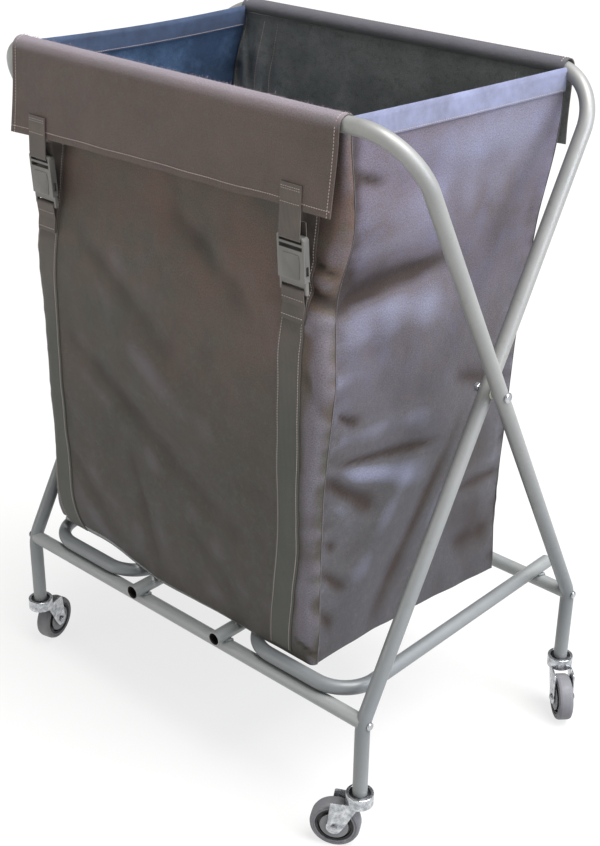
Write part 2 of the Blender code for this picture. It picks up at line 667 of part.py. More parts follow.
front_line = [(BAG_CLOTH / 2 - depth, z) for depth, z in front_profile]
sheet("bag_front_panel", front_line, BAG_CLOTH, BAG_SHIFT, bag_length, bag_cloth)
rear_line = [(depth - BAG_CLOTH / 2, z) for depth, z in rear_profile]
sheet("bag_rear_panel", rear_line, BAG_CLOTH, BAG_SHIFT, bag_length, bag_cloth)

# The side panels and the floor end inside the long panels.
front_in, rear_in = BAG_CLOTH + SEAT_GAP, BAG_CLOTH + 2 * SEAT_GAP
hem_low = BAG_SIDE_TOP - HEM_DEPTH
front_top, front_hem, front_floor = [
    (front_in - face(front_profile, z), z) for z in (BAG_SIDE_TOP, hem_low, BAG_FLOOR)
]
front_bends = [(front_in - depth, z) for depth, z in front_profile[1:-1]]
rear_floor, rear_hem, rear_top = [
    (face(rear_profile, z) - rear_in, z) for z in (BAG_FLOOR, hem_low, BAG_SIDE_TOP)
]
floor_line = [(front_floor[0], floor_mid), (rear_floor[0], floor_mid)]
sheet("bag_floor_panel", floor_line, BAG_CLOTH, BAG_SHIFT, floor_length, bag_cloth)

side_panel = [rear_floor, rear_top, front_top, *front_bends, front_floor]
side_hem = [rear_hem, rear_top, front_top, front_hem]
for side, label in ((-1, "left"), (1, "right")):
    x = BAG_SHIFT + side * BAG_HALF_LENGTH
    placing = Matrix.Translation((x - side * BAG_CLOTH / 2, 0, 0)) @ SIDEWAYS
    panel = plate(f"bag_{label}_panel", side_panel, BAG_CLOTH, bag_cloth, placing)
    combine(panel, plate(f"bag_{label}_hem", side_hem, HEM_CLOTH, None, placing), "UNION")

# ---- Side-release buckles -----------------------------------------------------------------------

socket_half = BUCKLE_WIDTH / 2
cavity_half = socket_half - SOCKET_WALL
cavity_thick = BUCKLE_THICKNESS - 2 * SOCKET_SKIN
plug_thick = cavity_thick - 2 * PLUG_CLEARANCE
slot_half = STRAP_WIDTH / 2 + PLUG_CLEARANCE
ladder_top = SOCKET_HEIGHT - LADDER_BAR
plug_slot_low = PLUG_BAR - PLUG_BASE_HEIGHT


def mirrored(points):
    return points + [(-x, z) for x, z in reversed(points)]


def cut_slot(piece, name, half_width, half_depth, low, high, middle_x=0.0):
    """A square hole through a buckle, from one height to another."""
    cut = box(name, (middle_x - half_width, -half_depth, low), (middle_x + half_width, half_depth, high))
    combine(piece, cut, "DIFFERENCE")
    cut.parent = piece


def buckle_socket(name):
    """Housing: open below for the plug, windows at its sides, two ladder slots for the strap above."""
    shape = [
        (socket_half, 0),
        (socket_half, SOCKET_HEIGHT - SOCKET_CORNER),
        (socket_half - SOCKET_CORNER, SOCKET_HEIGHT),
    ]
    piece = plate(name, mirrored(shape), BUCKLE_THICKNESS, buckle_plastic, UPRIGHT)
    half_cavity = cavity_thick / 2
    cut_slot(piece, name + "_cavity", cavity_half, half_cavity, -SOCKET_WALL, SOCKET_CAVITY_HEIGHT)
    for side in (-1, 1):
        cut_slot(piece, f"{name}_window_{side}", SOCKET_WALL, half_cavity, WINDOW_LOW, WINDOW_HIGH,
                 side * socket_half)
    for n in range(2):
        high = ladder_top - n * (LADDER_SLOT_HEIGHT + LADDER_BAR)
        cut_slot(piece, f"{name}_slot_{n}", slot_half, BUCKLE_THICKNESS, high - LADDER_SLOT_HEIGHT, high)
    return piece


def buckle_plug(name):
    """Prongs and tongue on a base with a slot for the webbing, all one moulding."""
    half, tongue = cavity_half - PLUG_CLEARANCE, PLUG_TONGUE_WIDTH / 2
    prong = half - PLUG_PRONG_WIDTH
    shape = [
        (socket_half, -PLUG_BASE_HEIGHT),
        (socket_half, -SEAT_GAP),
        (half, -SEAT_GAP),
        (half, WINDOW_HIGH - PLUG_CLEARANCE),
        (half - PLUG_NECK, PLUG_PRONG_LENGTH),
        (prong, PLUG_PRONG_LENGTH),
        (prong, PLUG_NECK),
        (tongue, PLUG_NECK),
        (tongue, PLUG_TONGUE_LENGTH),
    ]
    piece = plate(name, mirrored(shape), plug_thick, buckle_plastic, UPRIGHT)
    slot_high = plug_slot_low + LADDER_SLOT_HEIGHT
    cut_slot(piece, name + "_slot", slot_half, BUCKLE_THICKNESS, plug_slot_low, slot_high)
    return piece


# ---- Flaps, straps and webbing ------------------------------------------------------------------

flap_r = TUBE_R + FLAP_SLACK + FLAP_CLOTH / 2
flap_centre = BAR_HEIGHT + TUBE_R + SEAT_GAP + FLAP_CLOTH / 2 - flap_r
flap_low = BAR_HEIGHT + TUBE_R - FLAP_DROP
flap_path = [(BAR_HALF_DEPTH + flap_r, flap_low)]
for angle in range(0, 181, 20):
    a = radians(angle)
    flap_path.append((BAR_HALF_DEPTH + flap_r * cos(a), flap_centre + flap_r * sin(a)))
flap_path.append((BAR_HALF_DEPTH - flap_r, BAR_HEIGHT - FLAP_TUCK))

strap_depth = BAR_HALF_DEPTH + flap_r + FLAP_CLOTH / 2 + SEAT_GAP + STRAP_CLOTH / 2
anchor_height = BUCKLE_JOINT_HEIGHT - WEBBING_ANCHOR
on_panel = SEAT_GAP + STRAP_CLOTH / 2
turn_half = SEAT_GAP + STRAP_CLOTH / 2


def hang(profile):
    """One side's strap and webbing lines, its buckle's depth at the joint, and how far the buckle leans.

    Flap hem, buckle and webbing hang in one straight line down to where the webbing meets the panel,
    and the webbing then follows the panel. Depths are from the middle of the trolley outward.
    """
    anchor_depth = face(profile, anchor_height) + on_panel
    webbing_low = BAG_FLOOR + WEBBING_FLOOR_GAP
    panel_bends = sorted(z for depth, z in profile if webbing_low < z < anchor_height)
    lean = atan2(strap_depth - anchor_depth, flap_low - anchor_height)
    joint_depth = anchor_depth + WEBBING_ANCHOR * tan(lean)

    def local(across, along):
        """A point of the buckle's own frame: across is outward, along is up its length."""
        return (joint_depth + across * cos(lean) + along * sin(lean),
                BUCKLE_JOINT_HEIGHT + along * cos(lean) - across * sin(lean))

    bar_out, plug_out = BUCKLE_THICKNESS / 2 + turn_half, plug_thick / 2 + turn_half
    through_slot, through_plug = ladder_top - turn_half, plug_slot_low + turn_half
    strap = [
        (strap_depth, flap_low + STRAP_LAP),
        (strap_depth, flap_low),
        local(bar_out, SOCKET_HEIGHT + LADDER_BAR),
        local(bar_out, through_slot),
        local(-bar_out, through_slot),
        local(-bar_out, SOCKET_HEIGHT + STRAP_TAIL),
    ]
    webbing = [(face(profile, z) + on_panel, z) for z in (webbing_low, *panel_bends, anchor_height)]
    webbing += [
        local(-plug_out, -PLUG_BASE_HEIGHT - PLUG_BAR),
        local(-plug_out, through_plug),
        local(plug_out, through_plug),
        local(plug_out, -PLUG_BASE_HEIGHT - PLUG_BAR),
        local(plug_out / 2, -PLUG_BASE_HEIGHT - WEBBING_TURN),
    ]
    return strap, webbing, joint_depth, lean


def at_end(path, outward):
    """A path of depths and heights as the trolley's (Y, Z), at the front (-1) or the rear (1)."""
    return [(outward * depth, height) for depth, height in path]


front_end = OUTER_HALF_LENGTH - TOP_BEND + FLAP_PAST_BEND
rear_end = INNER_HALF_LENGTH - TOP_BEND + FLAP_PAST_BEND
for end, outward, left, right, shift, profile in (
    ("front", -1, -front_end, BAG_RIGHT + FLAP_OVERLAP, FRONT_STRAP_SHIFT, front_profile),
    ("rear", 1, -rear_end, rear_end, REAR_STRAP_SHIFT, rear_profile),
):
    strap_line, webbing_line, joint_depth, lean = hang(profile)
    sheet(f"{end}_flap", at_end(flap_path, outward), FLAP_CLOTH, (left + right) / 2, right - left, flap_cloth)
    for side, label in ((-1, "left"), (1, "right")):
        x = shift + side * STRAP_SPACING
        for kind, line in (("flap_strap", strap_line), ("webbing", webbing_line)):
            sheet(f"{end}_{label}_{kind}", at_end(line, outward), STRAP_CLOTH, x, STRAP_WIDTH, webbing_cloth)
        seat = empty(f"{end}_{label}_buckle", (x, outward * joint_depth, BUCKLE_JOINT_HEIGHT),
                     (-outward * lean, 0, 0))
        buckle_socket(f"{end}_{label}_buckle_socket").parent = seat
        buckle_plug(f"{end}_{label}_buckle_plug").parent = seat
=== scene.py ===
"""Looks of the folding linen trolley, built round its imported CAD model."""

import json
from math import atan2, cos, exp, pi, radians, sin, tan
from random import Random

import bpy
import numpy as np
from mathutils import Matrix, Vector, noise


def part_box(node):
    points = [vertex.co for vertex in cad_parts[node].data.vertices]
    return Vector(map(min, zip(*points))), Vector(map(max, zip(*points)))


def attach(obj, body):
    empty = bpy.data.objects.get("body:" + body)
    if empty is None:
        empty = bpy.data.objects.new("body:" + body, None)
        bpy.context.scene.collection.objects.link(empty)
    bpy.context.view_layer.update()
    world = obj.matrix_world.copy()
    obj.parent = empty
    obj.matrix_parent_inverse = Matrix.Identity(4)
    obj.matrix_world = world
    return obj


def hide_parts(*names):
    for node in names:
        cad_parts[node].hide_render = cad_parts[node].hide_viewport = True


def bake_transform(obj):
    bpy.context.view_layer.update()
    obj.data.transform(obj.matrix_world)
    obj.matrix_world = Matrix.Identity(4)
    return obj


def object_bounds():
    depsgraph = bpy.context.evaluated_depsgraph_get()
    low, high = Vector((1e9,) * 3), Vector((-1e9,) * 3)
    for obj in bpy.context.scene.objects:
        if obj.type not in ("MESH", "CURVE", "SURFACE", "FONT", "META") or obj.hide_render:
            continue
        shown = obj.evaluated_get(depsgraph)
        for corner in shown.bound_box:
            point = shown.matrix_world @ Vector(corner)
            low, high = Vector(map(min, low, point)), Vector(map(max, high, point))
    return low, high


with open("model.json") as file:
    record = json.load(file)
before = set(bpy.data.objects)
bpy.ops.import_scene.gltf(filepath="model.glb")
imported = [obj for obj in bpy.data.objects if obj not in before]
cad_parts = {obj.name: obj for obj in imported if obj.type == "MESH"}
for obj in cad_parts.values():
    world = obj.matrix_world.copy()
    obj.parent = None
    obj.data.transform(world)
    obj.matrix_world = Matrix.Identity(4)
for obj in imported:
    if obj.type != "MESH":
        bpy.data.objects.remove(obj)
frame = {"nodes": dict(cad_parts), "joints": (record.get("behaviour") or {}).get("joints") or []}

cad_box = [list(corner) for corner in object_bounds()]

# ---- The two bent frames ------------------------------------------------------------------------
# Each is one 22 mm steel tube with a 1.5 mm wall, bent cold at two knees and two top corners, which
# leaves it a little flat in the bends. It is powder coated silver-grey, and bare inside its ends.

TUBE_R, BORE_R = 0.011, 0.0095
TUBE_LIP = 0.0004           # rounding of a sawn end
KNEE_HEIGHT, KNEE_BEND, TOP_BEND = 0.2205, 0.060, 0.080


def srgb(code):
    """A hex colour as linear light."""
    parts = [int(code[n:n + 2], 16) / 255 for n in (1, 3, 5)]
    return (*[p / 12.92 if p <= 0.04045 else ((p + 0.055) / 1.055) ** 2.4 for p in parts], 1.0)


def per_metre(size):
    """The scale of a pattern whose blotches are this many millimetres across."""
    return 1000 / size


def wire(tree, kind, feeds=(), **settings):
    """Adds a shader node with its settings and links, or feeds one that is there already.

    Feeds go to its inputs by name, or in their order. Each is a number, a hex colour, or the node or
    socket that drives the input.
    """
    made = tree.nodes.new("ShaderNode" + kind) if isinstance(kind, str) else kind
    for key, value in settings.items():
        setattr(made, key, value)
    sockets = [s for s in made.inputs if s.enabled]
    if isinstance(feeds, dict):
        pairs = [(next(s for s in sockets if s.name == key), value) for key, value in feeds.items()]
    else:
        pairs = zip(sockets, feeds)
    for socket, value in pairs:
        if isinstance(value, bpy.types.Node):
            value = next(s for s in value.outputs if s.enabled)
        if isinstance(value, bpy.types.NodeSocket):
            tree.links.new(value, socket)
        else:
            socket.default_value = srgb(value) if isinstance(value, str) else value
    return made


def surface(name, **sockets):
    """A new material, its node tree and its shader, with the shader's even values set."""
    made = bpy.data.materials.new(name)
    made.use_nodes = True
    shader = made.node_tree.nodes["Principled BSDF"]
    for key, value in sockets.items():
        shader.inputs[key.replace("_", " ")].default_value = value
    return made, made.node_tree, shader


def painted(tree, tone, *coats):
    """Lays colours over a tone: a coat's share goes least to most as its value goes from start to end."""
    for value, start, end, least, most, colour in coats:
        share = wire(tree, "MapRange", (value, start, end, least, most))
        tone = wire(tree, "Mix", (share, tone, colour), data_type="RGBA")
    return tone


def mottled(name, tone, other, blotch, grain=None, depth=0.0, **sockets):
    """A material clouded between two tones, with a raised grain; blotch and grain: (size in mm, detail)."""
    made, tree, shader = surface(name, **sockets)
    where = wire(tree, "TexCoord").outputs["Object"]
    cloud = wire(tree, "TexNoise", (where, per_metre(blotch[0]), blotch[1]))
    wire(tree, shader, {"Base Color": painted(tree, tone, (cloud, 0, 1, 0, 1, other))})
    if grain:
        fine = wire(tree, "TexNoise", (where, per_metre(grain[0]), grain[1]))
        wire(tree, shader, {"Normal": wire(tree, "Bump", {"Height": fine, "Distance": depth})})
    return made


def powder_coat():
    """Satin grey powder coat with 1.5 mm orange peel: soft broad highlights, a warmer cast high up.

    Low down it is darker and cooler: partly dirt, partly painted shade. Grime lies in patches and edges
    are worn paler. Its flecks are a tenth of a millimetre in life, drawn at 0.45 mm or they wouldn't show.
    """
    made, tree, shader = surface("silver_grey_powder_coat", Metallic=0.25, Coat_Weight=0.25,
                                 Coat_Roughness=0.32)
    where = wire(tree, "TexCoord").outputs["Object"]
    height = wire(tree, "SeparateXYZ", (where,)).outputs["Z"]
    edges = wire(tree, "NewGeometry").outputs["Pointiness"]
    cloud = wire(tree, "TexNoise", (where, per_metre(90.9), 4))
    grime = wire(tree, "TexNoise", (where, per_metre(18.2), 6, 0.7))
    flecks = wire(tree, "TexNoise", (where, per_metre(0.4545), 1))
    upper = painted(tree, "#808280", (cloud, 0, 1, 0, 1, "#939290"))
    # Partly painted shade: lower down the tone goes darker and cooler.
    lower = wire(tree, "Mix", (0.75, upper, "#60666a"), data_type="RGBA")
    tone = painted(tree, lower, (height, 0.25, 0.70, 0, 1, upper), (grime, 0.58, 0.76, 0, 0.30, "#62645d"),
                   (edges, 0.53, 0.62, 0, 0.5, "#b9bab6"))
    fleck = wire(tree, "MapRange", (flecks, 0.35, 0.72, 0.92, 1.08))
    tone = wire(tree, "Mix", (1.0, tone, fleck), data_type="RGBA", blend_type="MULTIPLY")
    polish = wire(tree, "TexNoise", (where, per_metre(26.3), 5))
    gloss = wire(tree, "MapRange", (polish, 0.3, 0.7, 0.42, 0.58))
    peel = wire(tree, "TexNoise", (where, per_metre(1.54), 2))
    peel = wire(tree, "Bump", {"Height": peel, "Distance": 0.00012, "Strength": 0.7})
    dents = wire(tree, "TexNoise", (where, per_metre(16.7), 3))
    dents = wire(tree, "Bump", {"Height": dents, "Distance": 0.0004, "Strength": 0.35, "Normal": peel})
    wire(tree, shader, {"Base Color": tone, "Roughness": gloss, "Normal": dents})
    return made


paint = powder_coat()
# Unpainted steel, as drawn: a dull brown-black, rough to the eye.
bore = mottled("bare_tube_bore", "#1f2022", "#3b3733", (6.25, 5), (2.38, 3), 0.0002, Metallic=0.55,
               Roughness=0.7)


def piece(name, parts, looks, body=None, nodes=(), sharp=38):
    """One object of several parts. A part is its points, its faces, its look's number and its UVs."""
    points, faces, slots, cloth = [], [], [], []
    for part in parts:
        part_points, part_faces, look, uvs = (*part, *(0, None)[len(part) - 2:])
        start = len(points)
        points += [tuple(p) for p in part_points]
        faces += [[start + n for n in face] for face in part_faces]
        slots += look if isinstance(look, list) else [look] * len(part_faces)
        cloth += [tuple(uv) for uv in uvs] if uvs is not None else [(0.0, 0.0)] * len(part_points)
    mesh = bpy.data.meshes.new(name)
    mesh.from_pydata(points, [], faces)
    for look in looks:
        mesh.materials.append(look)
    mesh.polygons.foreach_set("material_index", slots)
    layer = mesh.uv_layers.new(name="metres")
    corners = np.zeros(len(mesh.loops), int)
    mesh.loops.foreach_get("vertex_index", corners)
    layer.data.foreach_set("uv", np.array(cloth, float)[corners].ravel())
    mesh.shade_smooth()
    mesh.set_sharp_from_angle(angle=radians(sharp))
    mesh.update()
    made = bpy.data.objects.new(name, mesh)
    bpy.context.scene.collection.objects.link(made)
    if body:
        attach(made, body)
    if nodes:
        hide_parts(*nodes)
    return made


def skin(rings, closed_around=True, closed_along=False):
    """Faces between rings of equal length."""
    rows, count = len(rings), len(rings[0])
    faces = []
    for row in range(rows if closed_along else rows - 1):
        for n in range(count if closed_around else count - 1):
            a, b = row * count, (row + 1) % rows * count
            after = (n + 1) % count
            faces.append([a + n, a + after, b + after, b + n])
    return [p for ring in rings for p in ring], faces


def capped(points, faces, count):
    """Closes the first and the last ring of a skin."""
    last = len(points) - count
    return points, faces + [list(range(count))[::-1], [last + n for n in range(count)]]


def rounded(corners, radii, turn_step=radians(5)):
    """Straight runs joined by arcs; each point comes with its arc's bisector, longer deep in the bend."""
    corners = [Vector(c) for c in corners]
    path = [(corners[0], Vector())]
    for before, corner, after, radius in zip(corners, corners[1:], corners[2:], radii):
        into, out = (before - corner).normalized(), (after - corner).normalized()
        half = into.angle(out) / 2
        if half > radians(89):
            path.append((corner, Vector()))
            continue
        bisector = (into + out).normalized()
        radius = min(radius, 0.49 * tan(half) * min((before - corner).length, (after - corner).length))
        centre = corner + bisector * radius / sin(half)
        start = corner + into * radius / tan(half) - centre
        end = corner + out * radius / tan(half) - centre
        turn = start.angle(end)
        steps = max(2, int(turn / turn_step))
        for step in range(steps + 1):
            part = step / steps
            place = centre + (start * sin((1 - part) * turn) + end * sin(part * turn)) / sin(turn)
            path.append((place, bisector * sin(pi * part)))
    path.append((corners[-1], Vector()))
    return path


def swept(path, radius, sides=32, squeeze=0.05):
    """Rings of a round tube along a path, a little flat where the path bends."""
    points = [p for p, _ in path]
    last = len(points) - 1
    ways = [(points[min(n + 1, last)] - points[max(n - 1, 0)]).normalized() for n in range(last + 1)]
    across = ways[0].orthogonal().normalized()
    rings = []
    for place, way, (_, bend) in zip(points, ways, path):
        across = (across - way * across.dot(way)).normalized()
        other = way.cross(across)
        ring = []
        for n in range(sides):
            a = 2 * pi * n / sides
            arm = (across * cos(a) + other * sin(a)) * radius
            if bend.length:
                arm -= bend * arm.dot(bend.normalized()) * squeeze
            ring.append(place + arm)
        rings.append(ring)
    return rings


def open_tube(name, corners, radii, body, stands_for):
    """A bent tube with sawn open ends, painted outside and bare inside."""
    path = rounded(corners, radii)
    outer, inner = swept(path, TUBE_R), swept(path, BORE_R)
    ends = []
    for at, to in ((0, 1), (-1, -2)):
        way = (path[to][0] - path[at][0]).normalized() * TUBE_LIP
        ends.append([p + way for p in outer[at]])
        centre = path[at][0]
        outer[at] = [centre + (p - centre) * (1 - TUBE_LIP / TUBE_R) for p in outer[at]]
    outer = [outer[0], ends[0], *outer[1:-1], ends[1], outer[-1]]
    points, faces = skin(outer + inner[::-1], closed_along=True)
    sides, rows = len(outer[0]), len(faces) // len(outer[0])
    looks = [0 if row <= len(outer) - 1 else 1 for row in range(rows) for _ in range(sides)]
    return piece(name, [(points, faces, looks)], [paint, bore], body, stands_for)


def bent_frame(name, half_length, knee_y, foot_z, bar_y, bar_z):
    leg = [(half_length, knee_y, foot_z), (half_length, knee_y, KNEE_HEIGHT), (half_length, bar_y, bar_z)]
    corners = leg + [(-x, y, z) for x, y, z in reversed(leg)]
    bends = (KNEE_BEND, TOP_BEND, TOP_BEND, KNEE_BEND)
    open_tube(f"{name}_bent_legs", corners, bends, name, [f"{name}_tube"])


outer_low, outer_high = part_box("outer_frame_tube")
inner_low, inner_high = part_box("inner_frame_tube")
BAR_HEIGHT = outer_high.z - TUBE_R
bent_frame("outer_frame", outer_high.x - TUBE_R, outer_high.y - TUBE_R, outer_low.z, outer_low.y + TUBE_R,
           BAR_HEIGHT)
bent_frame("inner_frame", inner_high.x - TUBE_R, inner_low.y + TUBE_R, outer_low.z, inner_high.y - TUBE_R,
           BAR_HEIGHT)

# ---- Rails --------------------------------------------------------------------------------------
# A straight length of the same tube joins the knees of each frame. A bolt through each knee screws
# into a plug welded in the rail's end, and the rail's end butts against the leg.

for end, body in (("front", "inner_frame"), ("rear", "outer_frame")):
    low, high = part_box(f"{end}_rail")
    middle = (low + high) / 2
    reach = high.x + TUBE_R * 0.35          # its coped end runs a little into the leg's round
    rail = [(-reach, middle.y, middle.z), (reach, middle.y, middle.z)]
    open_tube(f"{end}_rail_tube", rail, (), body, [f"{end}_rail"])

# ---- Base loops ---------------------------------------------------------------------------------
# Three U-shaped loops of the tube carry the bag's floor. Each is welded across one frame's rail near
# its open ends, and its closed end rests free on the other frame's rail.

LOOP_BEND = 0.058


def base_loop(label, weld_side, body):
    low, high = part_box(f"{label}_base_loop")
    z = (low.z + high.z) / 2
    left, right = low.x + TUBE_R, high.x - TUBE_R
    open_y, closed_y = (low.y, high.y - TUBE_R) if weld_side < 0 else (high.y, low.y + TUBE_R)
    corners = [(left, open_y, z), (left, closed_y, z), (right, closed_y, z), (right, open_y, z)]
    open_tube(f"{label}_base_loop_tube", corners, (LOOP_BEND, LOOP_BEND), body, [f"{label}_base_loop"])


base_loop("centre", -1, "inner_frame")
base_loop("left", 1, "outer_frame")
base_loop("right", 1, "outer_frame")

# ---- Weld beads ---------------------------------------------------------------------------------
# Short beads of weld metal, laid by hand in the nips on both sides of each loop's arm where it lies
# across its rail. They are uneven, and painted over with the frame.

BEAD_DROPS, BEAD_PITCH = 5, 0.0017
DROP_SIZE = (0.0034, 0.0026, 0.0028)
LUMP_SIDES = 14


def lump(centre, size, seed):
    """A drop of weld metal: an uneven ellipsoid."""
    rings = []
    for row in range(1, 10):
        tilt = pi * row / 10
        ring = []
        for n in range(LUMP_SIDES):
            a = 2 * pi * n / LUMP_SIDES
            way = Vector((sin(tilt) * cos(a), sin(tilt) * sin(a), cos(tilt)))
            swell = 1 + 0.22 * noise.noise(way * 1.7 + Vector((seed, 0, 0)))
            ring.append(Vector(centre) + Vector(w * s for w, s in zip(way, size)) * swell)
        rings.append(ring)
    return capped(*skin(rings), LUMP_SIDES)


def weld_beads():
    welded = (("front", "inner_frame", ("centre",)), ("rear", "outer_frame", ("left", "right")))
    for end, body, loops in welded:
        rail_low, rail_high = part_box(f"{end}_rail")
        y, parts = (rail_low.y + rail_high.y) / 2, []
        for label in loops:
            low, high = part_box(f"{label}_base_loop")
            for arm in (low.x + TUBE_R, high.x - TUBE_R):
                for side in (-1, 1):
                    for n in range(BEAD_DROPS):
                        x = arm + side * (0.0062 + 0.0008 * n)
                        place = (x, y + (n - 2) * BEAD_PITCH, rail_high.z + 0.0009)
                        parts.append(lump(place, DROP_SIZE, arm * 90 + side * 5 + n))
        piece(f"{end}_rail_weld_beads", parts, [paint], body, sharp=80)


weld_beads()

# ---- Bolts, nuts and washers --------------------------------------------------------------------
# Domed zinc-plated bolts at the two pivots and the four rail ends, hexagon nuts inside the pivots
# and a white nylon washer between the legs there. Handling has dulled their high spots.

PIVOT_HEAD, PIVOT_SHANK_R = 0.0042, 0.0040
RAIL_HEAD, RAIL_SHANK_R = 0.0034, 0.0030
PIVOT_HOLE_R = 0.0042
AXIS_R = 0.0001             # a turned profile stops just short of its axis


def zinc_plate(name, tone, shade, rough):
    """Bright zinc plate on steel: cool and blotchy, with fine tool marks and duller handled spots."""
    made, tree, shader = surface(name, Metallic=0.92)
    where = wire(tree, "TexCoord").outputs["Object"]
    cloud = wire(tree, "TexNoise", (where, per_metre(7.69), 5, 0.6))
    spots = wire(tree, "TexNoise", (where, per_metre(3.85), 4))
    dull = wire(tree, "MapRange", (spots, 0.3, 0.7, rough * 0.7, rough * 1.5))
    marks = wire(tree, "TexNoise", (where, per_metre(1.11), 2))
    marks = wire(tree, "Bump", {"Height": marks, "Distance": 0.00005, "Strength": 0.5})
    tone = painted(tree, shade, (cloud, 0.35, 0.68, 0, 1, tone))
    wire(tree, shader, {"Base Color": tone, "Roughness": dull, "Normal": marks})
    return made


bolt_zinc = zinc_plate("zinc_plated_bolt", "#c4c6c8", "#84868a", 0.28)
# Moulded nylon: milky, slightly yellowed, and soft where light goes into it.
washer_nylon = mottled("washer_nylon", "#d5d2c4", "#e4e2d8", (3.333, 3), (1.11, 3), 0.00005, Roughness=0.5,
                       Subsurface_Weight=0.1)


def turned(profile, place, steps=48, closed=False, phase=0.0):
    """A (radius, height) profile turned about Z, then put in place."""
    rings = []
    for radius, height in profile:
        ring = []
        for n in range(steps):
            a = 2 * pi * n / steps + phase
            ring.append(place @ Vector((radius * cos(a), radius * sin(a), height)))
        rings.append(ring)
    made = skin(rings, closed_along=closed)
    return made if closed else capped(*made, steps)


def softened(profile, radius, closed=False):
    """A profile with its corners rounded."""
    flat = [Vector((r, 0, z)) for r, z in profile]
    if closed:
        flat = [(flat[-1] + flat[0]) / 2, *flat, (flat[-1] + flat[0]) / 2]
    path = rounded(flat, [radius] * (len(flat) - 2), radians(30))
    made = [(p.x, p.z) for p, _ in path]
    return made[:-1] if closed else made


def dome(radius, seat, height, step):
    """A domed head's profile, from its middle out, above its seat."""
    return [(radius * sin(a), seat + height * (0.35 + 0.65 * cos(a))) for a in np.radians(range(4, 91, step))]


def bolts():
    for node in frame["nodes"]:
        if not node.endswith(("bolt", "_nut", "_washer")):
            continue
        low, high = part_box(node)
        side = 1 if low.x > 0 else -1
        middle = (low + high) / 2
        seat_x = low.x if side > 0 else high.x
        body = "inner_frame" if node.startswith("front") else "outer_frame"
        place = Matrix.Translation((seat_x, middle.y, middle.z)) @ Matrix.Rotation(side * pi / 2, 4, "Y")
        length, r = high.x - low.x, (high.z - low.z) / 2
        if node.endswith("bolt"):
            head, shank = (PIVOT_HEAD, PIVOT_SHANK_R) if "pivot" in node else (RAIL_HEAD, RAIL_SHANK_R)
            profile = [(AXIS_R, length), *dome(r, length - head, head, 8), (r, length - head),
                       (shank, length - head), (shank, 0.0005), (shank - 0.0005, 0), (AXIS_R, 0)]
            piece(f"{node}_domed", [turned(profile, place)], [bolt_zinc], body, [node])
        elif node.endswith("_nut"):
            profile = [(PIVOT_HOLE_R, 0), (r * 0.93, 0), (r, 0.0006), (r, length - 0.0006),
                       (r * 0.93, length), (PIVOT_HOLE_R, length)]
            nut = turned(profile, place, 6, closed=True)
            piece(f"{node}_hexagon", [nut], [bolt_zinc], body, [node], 20)
        else:
            ring = [(PIVOT_HOLE_R, 0), (r, 0), (r, length), (PIVOT_HOLE_R, length)]
            disc = turned(softened(ring, 0.0002, closed=True), place, closed=True)
            piece(f"{node}_disc", [disc], [washer_nylon], body, [node])


bolts()

# ---- Castors ------------------------------------------------------------------------------------
# Four 75 mm swivel castors. A pressed and zinc-plated fork hangs under a cup with its rim turned in;
# the wheel is a black moulded core with grey thread guards and a grey rubber tyre.

CROWN_Z, CUP_LIP_Z, CUP_R, CUP_WALL = 0.0785, 0.0975, 0.0205, 0.0024
CHEEK_OUT, CHEEK_WALL, CHEEK_END_R = 0.0153, 0.0025, 0.0115
AXLE_HEAD_R, AXLE_HEAD, AXLE_SHANK_R, SLEEVE_R, SLEEVE_HALF = 0.0055, 0.0036, 0.003, 0.0042, 0.01375
TYRE_SEAT_R, TYRE_HALF = 0.02875, 0.0115
GUARD_R, HUB_BORE_R = 0.0214, 0.0045
PIN_HOLE_R = 0.0042

fork_zinc = zinc_plate("zinc_plated_fork", "#d2d4d6", "#8e9196", 0.24)
# Blackened steel: nearly black, with a weak dull shine.
stem_steel = zinc_plate("blackened_stem_steel", "#55565a", "#2c2c2f", 0.42)


def moulding(name, tone, shade, rough, grain):
    """Moulded rubber or plastic: matt, with dust in patches and paler scuffed edges.

    The real grain is about 0.2 mm. It is drawn at 0.7 mm, or it wouldn't show.
    """
    made, tree, shader = surface(name, Specular_IOR_Level=0.4)
    where = wire(tree, "TexCoord").outputs["Object"]
    edges = wire(tree, "NewGeometry").outputs["Pointiness"]
    cloud = wire(tree, "TexNoise", (where, per_metre(14.3), 5))
    dust = wire(tree, "TexNoise", (where, per_metre(41.7), 6, 0.65))
    polish = wire(tree, "TexNoise", (where, per_metre(5.56), 3))
    gloss = wire(tree, "MapRange", (polish, 0.3, 0.7, rough * 0.85, rough * 1.15))
    pits = wire(tree, "TexNoise", (where, per_metre(0.714), 2))
    tone = painted(tree, shade, (cloud, 0, 1, 0, 1, tone), (dust, 0.52, 0.76, 0, 0.35, "#8d8a84"),
                   (edges, 0.53, 0.64, 0, 0.35, "#a3a2a0"))
    pits = wire(tree, "Bump", {"Height": pits, "Distance": grain})
    wire(tree, shader, {"Base Color": tone, "Roughness": gloss, "Normal": pits})
    return made


tyre_rubber = moulding("grey_tyre_rubber", "#707074", "#5c5c60", 0.62, 0.00008)
core_plastic = moulding("black_wheel_plastic", "#1d1d1f", "#131315", 0.5, 0.00005)
guard_plastic = moulding("grey_guard_plastic", "#77787b", "#626366", 0.48, 0.00005)


def plate(points, thickness, place, edge=0.0006):
    """A flat outline with rounded edges, in the XZ plane with its thickness along Y."""
    middle = sum((Vector((x, 0, z)) for x, z in points), Vector()) / len(points)
    half, rings = thickness / 2, []
    for inset, y in ((edge, -half), (edge * 0.3, -half + edge * 0.3), (0, -half + edge),
                     (0, half - edge), (edge * 0.3, half - edge * 0.3), (edge, half)):
        ring = []
        for x, z in points:
            away = Vector((x, 0, z)) - middle
            p = Vector((x, y, z)) - away.normalized() * inset
            ring.append(place @ p)
        rings.append(ring)
    return capped(*skin(rings), len(points))


